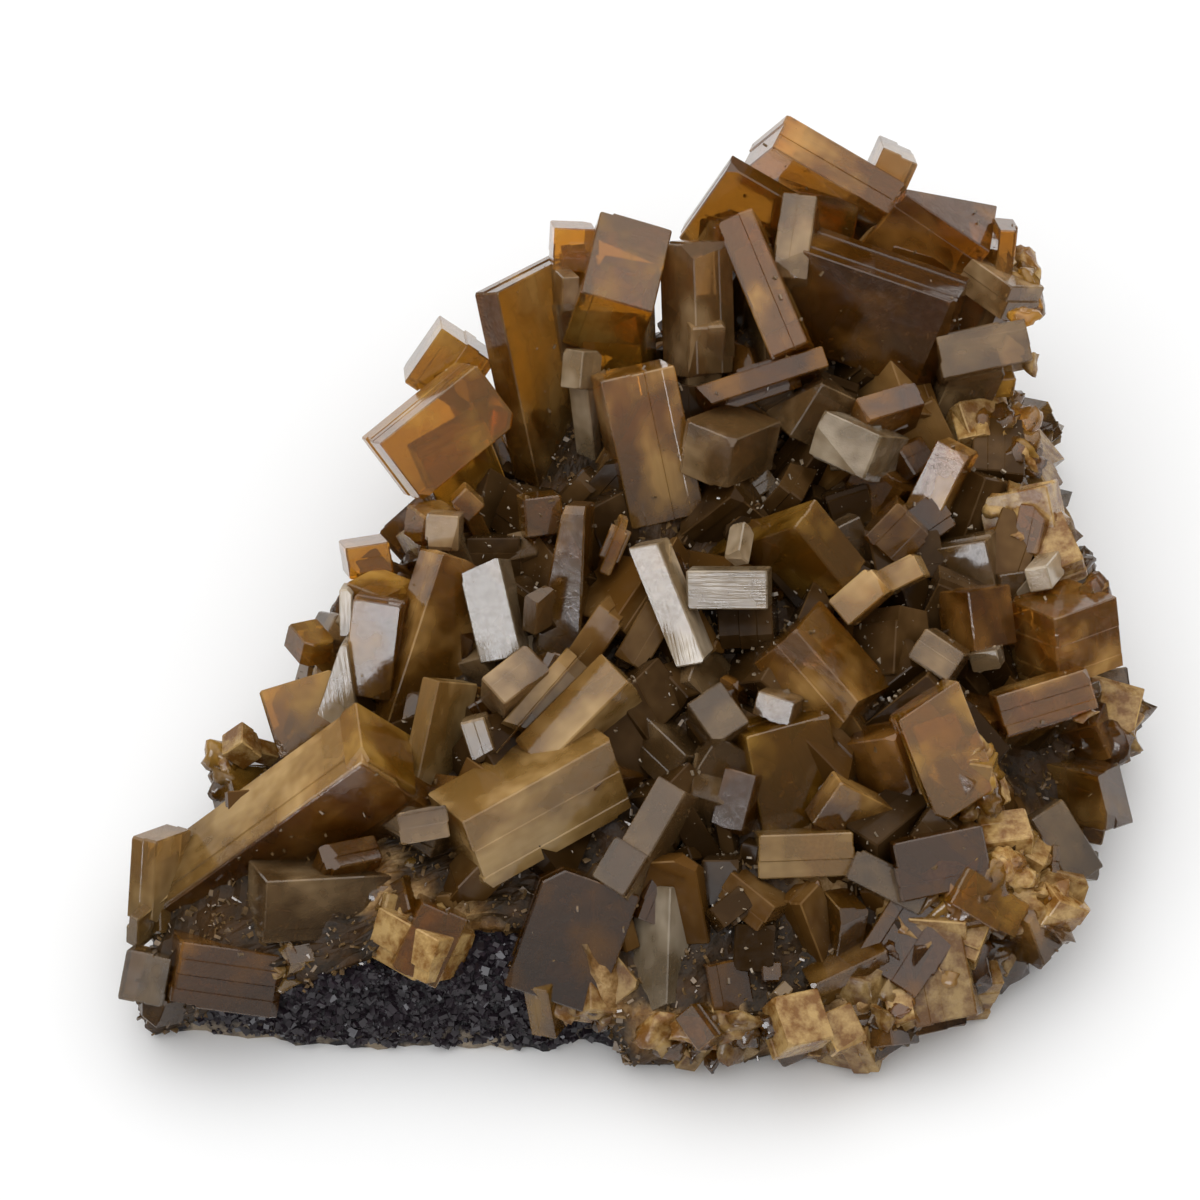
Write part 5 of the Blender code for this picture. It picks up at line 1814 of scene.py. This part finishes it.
@dataclass(frozen=True)
class Sprinkle:
    """Tiny crystals scattered over a piece by Geometry Nodes."""

    name: str
    density: float
    smallest: float
    largest: float
    mask: str
    tilt: float = 0.9
    seed: int = 1
    lath: Triple = (0.55, 0.22, 1.25)
    tablet: Triple = (0.9, 0.35, 0.75)

    def tree(self) -> bpy.types.NodeTree:
        """Build the scattering tree.

        Returns:
            A geometry node group with named inputs.
        """
        tree = bpy.data.node_groups.new("scatter_" + self.name, "GeometryNodeTree")
        face = tree.interface
        face.new_socket("Geometry", in_out="INPUT", socket_type="NodeSocketGeometry")
        face.new_socket("Density", in_out="INPUT", socket_type="NodeSocketFloat")
        face.new_socket("Smallest", in_out="INPUT", socket_type="NodeSocketFloat")
        face.new_socket("Largest", in_out="INPUT", socket_type="NodeSocketFloat")
        face.new_socket("Tilt", in_out="INPUT", socket_type="NodeSocketFloat")
        face.new_socket("Material", in_out="INPUT", socket_type="NodeSocketMaterial")
        face.new_socket("Geometry", in_out="OUTPUT", socket_type="NodeSocketGeometry")

        def add(kind: str, **values: object) -> bpy.types.Node:
            """Add a node with properties."""
            node = tree.nodes.new(kind)
            for key, value in values.items():
                setattr(node, key, value)
            return node

        def join(source: object, target: object) -> None:
            """Link two sockets."""
            tree.links.new(source, target)

        given = add("NodeGroupInput")
        mask = add("GeometryNodeInputNamedAttribute", data_type="FLOAT")
        mask.inputs["Name"].default_value = self.mask
        wanted = add("ShaderNodeMath", operation="MULTIPLY")
        join(given.outputs["Density"], wanted.inputs[0])
        join(mask.outputs["Attribute"], wanted.inputs[1])
        points = add("GeometryNodeDistributePointsOnFaces", distribute_method="RANDOM")
        points.inputs["Seed"].default_value = self.seed
        join(given.outputs["Geometry"], points.inputs["Mesh"])
        join(wanted.outputs[0], points.inputs["Density"])

        lath = add("GeometryNodeMeshCube")
        lath.inputs["Size"].default_value = self.lath
        tablet = add("GeometryNodeMeshCube")
        tablet.inputs["Size"].default_value = self.tablet
        shapes = add("GeometryNodeGeometryToInstance")
        join(lath.outputs["Mesh"], shapes.inputs[0])
        join(tablet.outputs["Mesh"], shapes.inputs[0])

        spin = add("FunctionNodeRandomValue", data_type="FLOAT_VECTOR")
        flip = add("ShaderNodeVectorMath", operation="SCALE")
        flip.inputs[0].default_value = (1.0, 1.0, 0.0)
        join(given.outputs["Tilt"], flip.inputs["Scale"])
        high = add("ShaderNodeVectorMath", operation="ADD")
        high.inputs[1].default_value = (0.0, 0.0, math.pi)
        join(flip.outputs[0], high.inputs[0])
        low = add("ShaderNodeVectorMath", operation="SCALE")
        low.inputs["Scale"].default_value = -1.0
        join(high.outputs[0], low.inputs[0])
        join(low.outputs[0], spin.inputs[0])
        join(high.outputs[0], spin.inputs[1])
        spin.inputs["Seed"].default_value = self.seed + 3
        turn = add("FunctionNodeRotateEuler", rotation_type="EULER", space="LOCAL")
        join(points.outputs["Rotation"], turn.inputs["Rotation"])
        join(spin.outputs[0], turn.inputs["Rotate By"])

        chance = add("FunctionNodeRandomValue", data_type="FLOAT")
        chance.inputs["Seed"].default_value = self.seed + 5
        rare = add("ShaderNodeMath", operation="POWER")
        join(chance.outputs[1], rare.inputs[0])
        rare.inputs[1].default_value = 2.5
        size = add("ShaderNodeMapRange")
        join(rare.outputs[0], size.inputs["Value"])
        join(given.outputs["Smallest"], size.inputs["To Min"])
        join(given.outputs["Largest"], size.inputs["To Max"])

        put = add("GeometryNodeInstanceOnPoints")
        put.inputs["Pick Instance"].default_value = True
        join(points.outputs["Points"], put.inputs["Points"])
        join(shapes.outputs[0], put.inputs["Instance"])
        join(turn.outputs["Rotation"], put.inputs["Rotation"])
        join(size.outputs["Result"], put.inputs["Scale"])
        real = add("GeometryNodeRealizeInstances")
        join(put.outputs["Instances"], real.inputs["Geometry"])
        paint = add("GeometryNodeSetMaterial")
        join(real.outputs["Geometry"], paint.inputs["Geometry"])
        join(given.outputs["Material"], paint.inputs["Material"])
        out = add("NodeGroupOutput")
        join(paint.outputs["Geometry"], out.inputs["Geometry"])
        return tree

    def grow(self, host: bpy.types.Object, material: bpy.types.Material) -> bpy.types.Object:
        """Scatter the crystals over a piece.

        Args:
            host: the piece that they grow on.
            material: what they are made of.

        Returns:
            The scattered crystals as one plain mesh object.
        """
        carrier = link(bpy.data.objects.new(self.name + "_host", host.data.copy()))
        modifier = carrier.modifiers.new("scatter", "NODES")
        tree = self.tree()
        modifier.node_group = tree
        values = {"Density": self.density, "Smallest": self.smallest * MM,
                  "Largest": self.largest * MM, "Tilt": self.tilt, "Material": material}
        for item in tree.interface.items_tree:
            if item.item_type == "SOCKET" and item.in_out == "INPUT" and item.name in values:
                modifier[item.identifier] = values[item.name]
        graph = bpy.context.evaluated_depsgraph_get()
        data = bpy.data.meshes.new_from_object(carrier.evaluated_get(graph))
        data.name = self.name
        bpy.data.objects.remove(carrier)
        return link(bpy.data.objects.new(self.name, data))


def druse_material(name: str, colour: Colour, rough: float, gloss: float) -> bpy.types.Material:
    """Build the material of the tiny crystals.

    Args:
        name: the material's name.
        colour: their colour.
        rough: how rough they are.
        gloss: how strongly they mirror.

    Returns:
        The material.
    """
    desk = NodeDesk(name)
    tone = desk.spread(desk.cloud(desk.place(), 0.9, 2.0), 0.35, 0.65, 0.0, 1.0)
    darker = tuple(value * 0.5 for value in colour)
    desk.join(desk.blend(tone, darker, colour), desk.shader.inputs["Base Color"])
    desk.shader.inputs["Roughness"].default_value = rough
    desk.shader.inputs["IOR"].default_value = 1.64
    desk.shader.inputs["Specular IOR Level"].default_value = gloss
    return desk.material


def main() -> None:
    """Build the plate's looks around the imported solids."""
    logging.basicConfig(level=logging.INFO, format="%(message)s")
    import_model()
    LOG.info("rock")
    rock = Rock().build()
    LOG.info("crust")
    crust = Crust().build()
    LOG.info("crystals")
    pieces = CrystalCluster(crust).build()

    LOG.info("druse")
    grey = druse_material("druse_grey", (0.36, 0.28, 0.19), 0.12, 0.5)
    brown = druse_material("druse_brown", (0.20, 0.12, 0.05), 0.15, 0.5)
    ground = Sprinkle("ground_druse", 1.2e6, 0.25, 1.0, "sparkle", seed=3).grow(crust, brown)
    dress(ground, brown, CLUSTER_NODE)
    for finish, paint, density in ((UMBER, brown, 2.5e5), (HONEY, brown, 2.5e5), (DUSK, grey, 5.0e5)):
        dust = Sprinkle("dust_" + finish.value, density, 0.10, 0.65, "dust", seed=5)
        sprinkled = dust.grow(pieces[finish], paint)
        dress(sprinkled, paint, CLUSTER_NODE)
    black = druse_material("rock_grain", (0.026, 0.018, 0.024), 0.30, 0.22)
    grains = Sprinkle("rock_grains", 5.0e6, 0.3, 1.1, "grains", seed=7,
                      lath=(0.8, 0.55, 0.8), tablet=(0.9, 0.7, 0.6)).grow(rock, black)
    dress(grains, black, ROCK_NODE)

    LOG.info("studio")
    Studio().build()


if __name__ == "__main__":
    main()
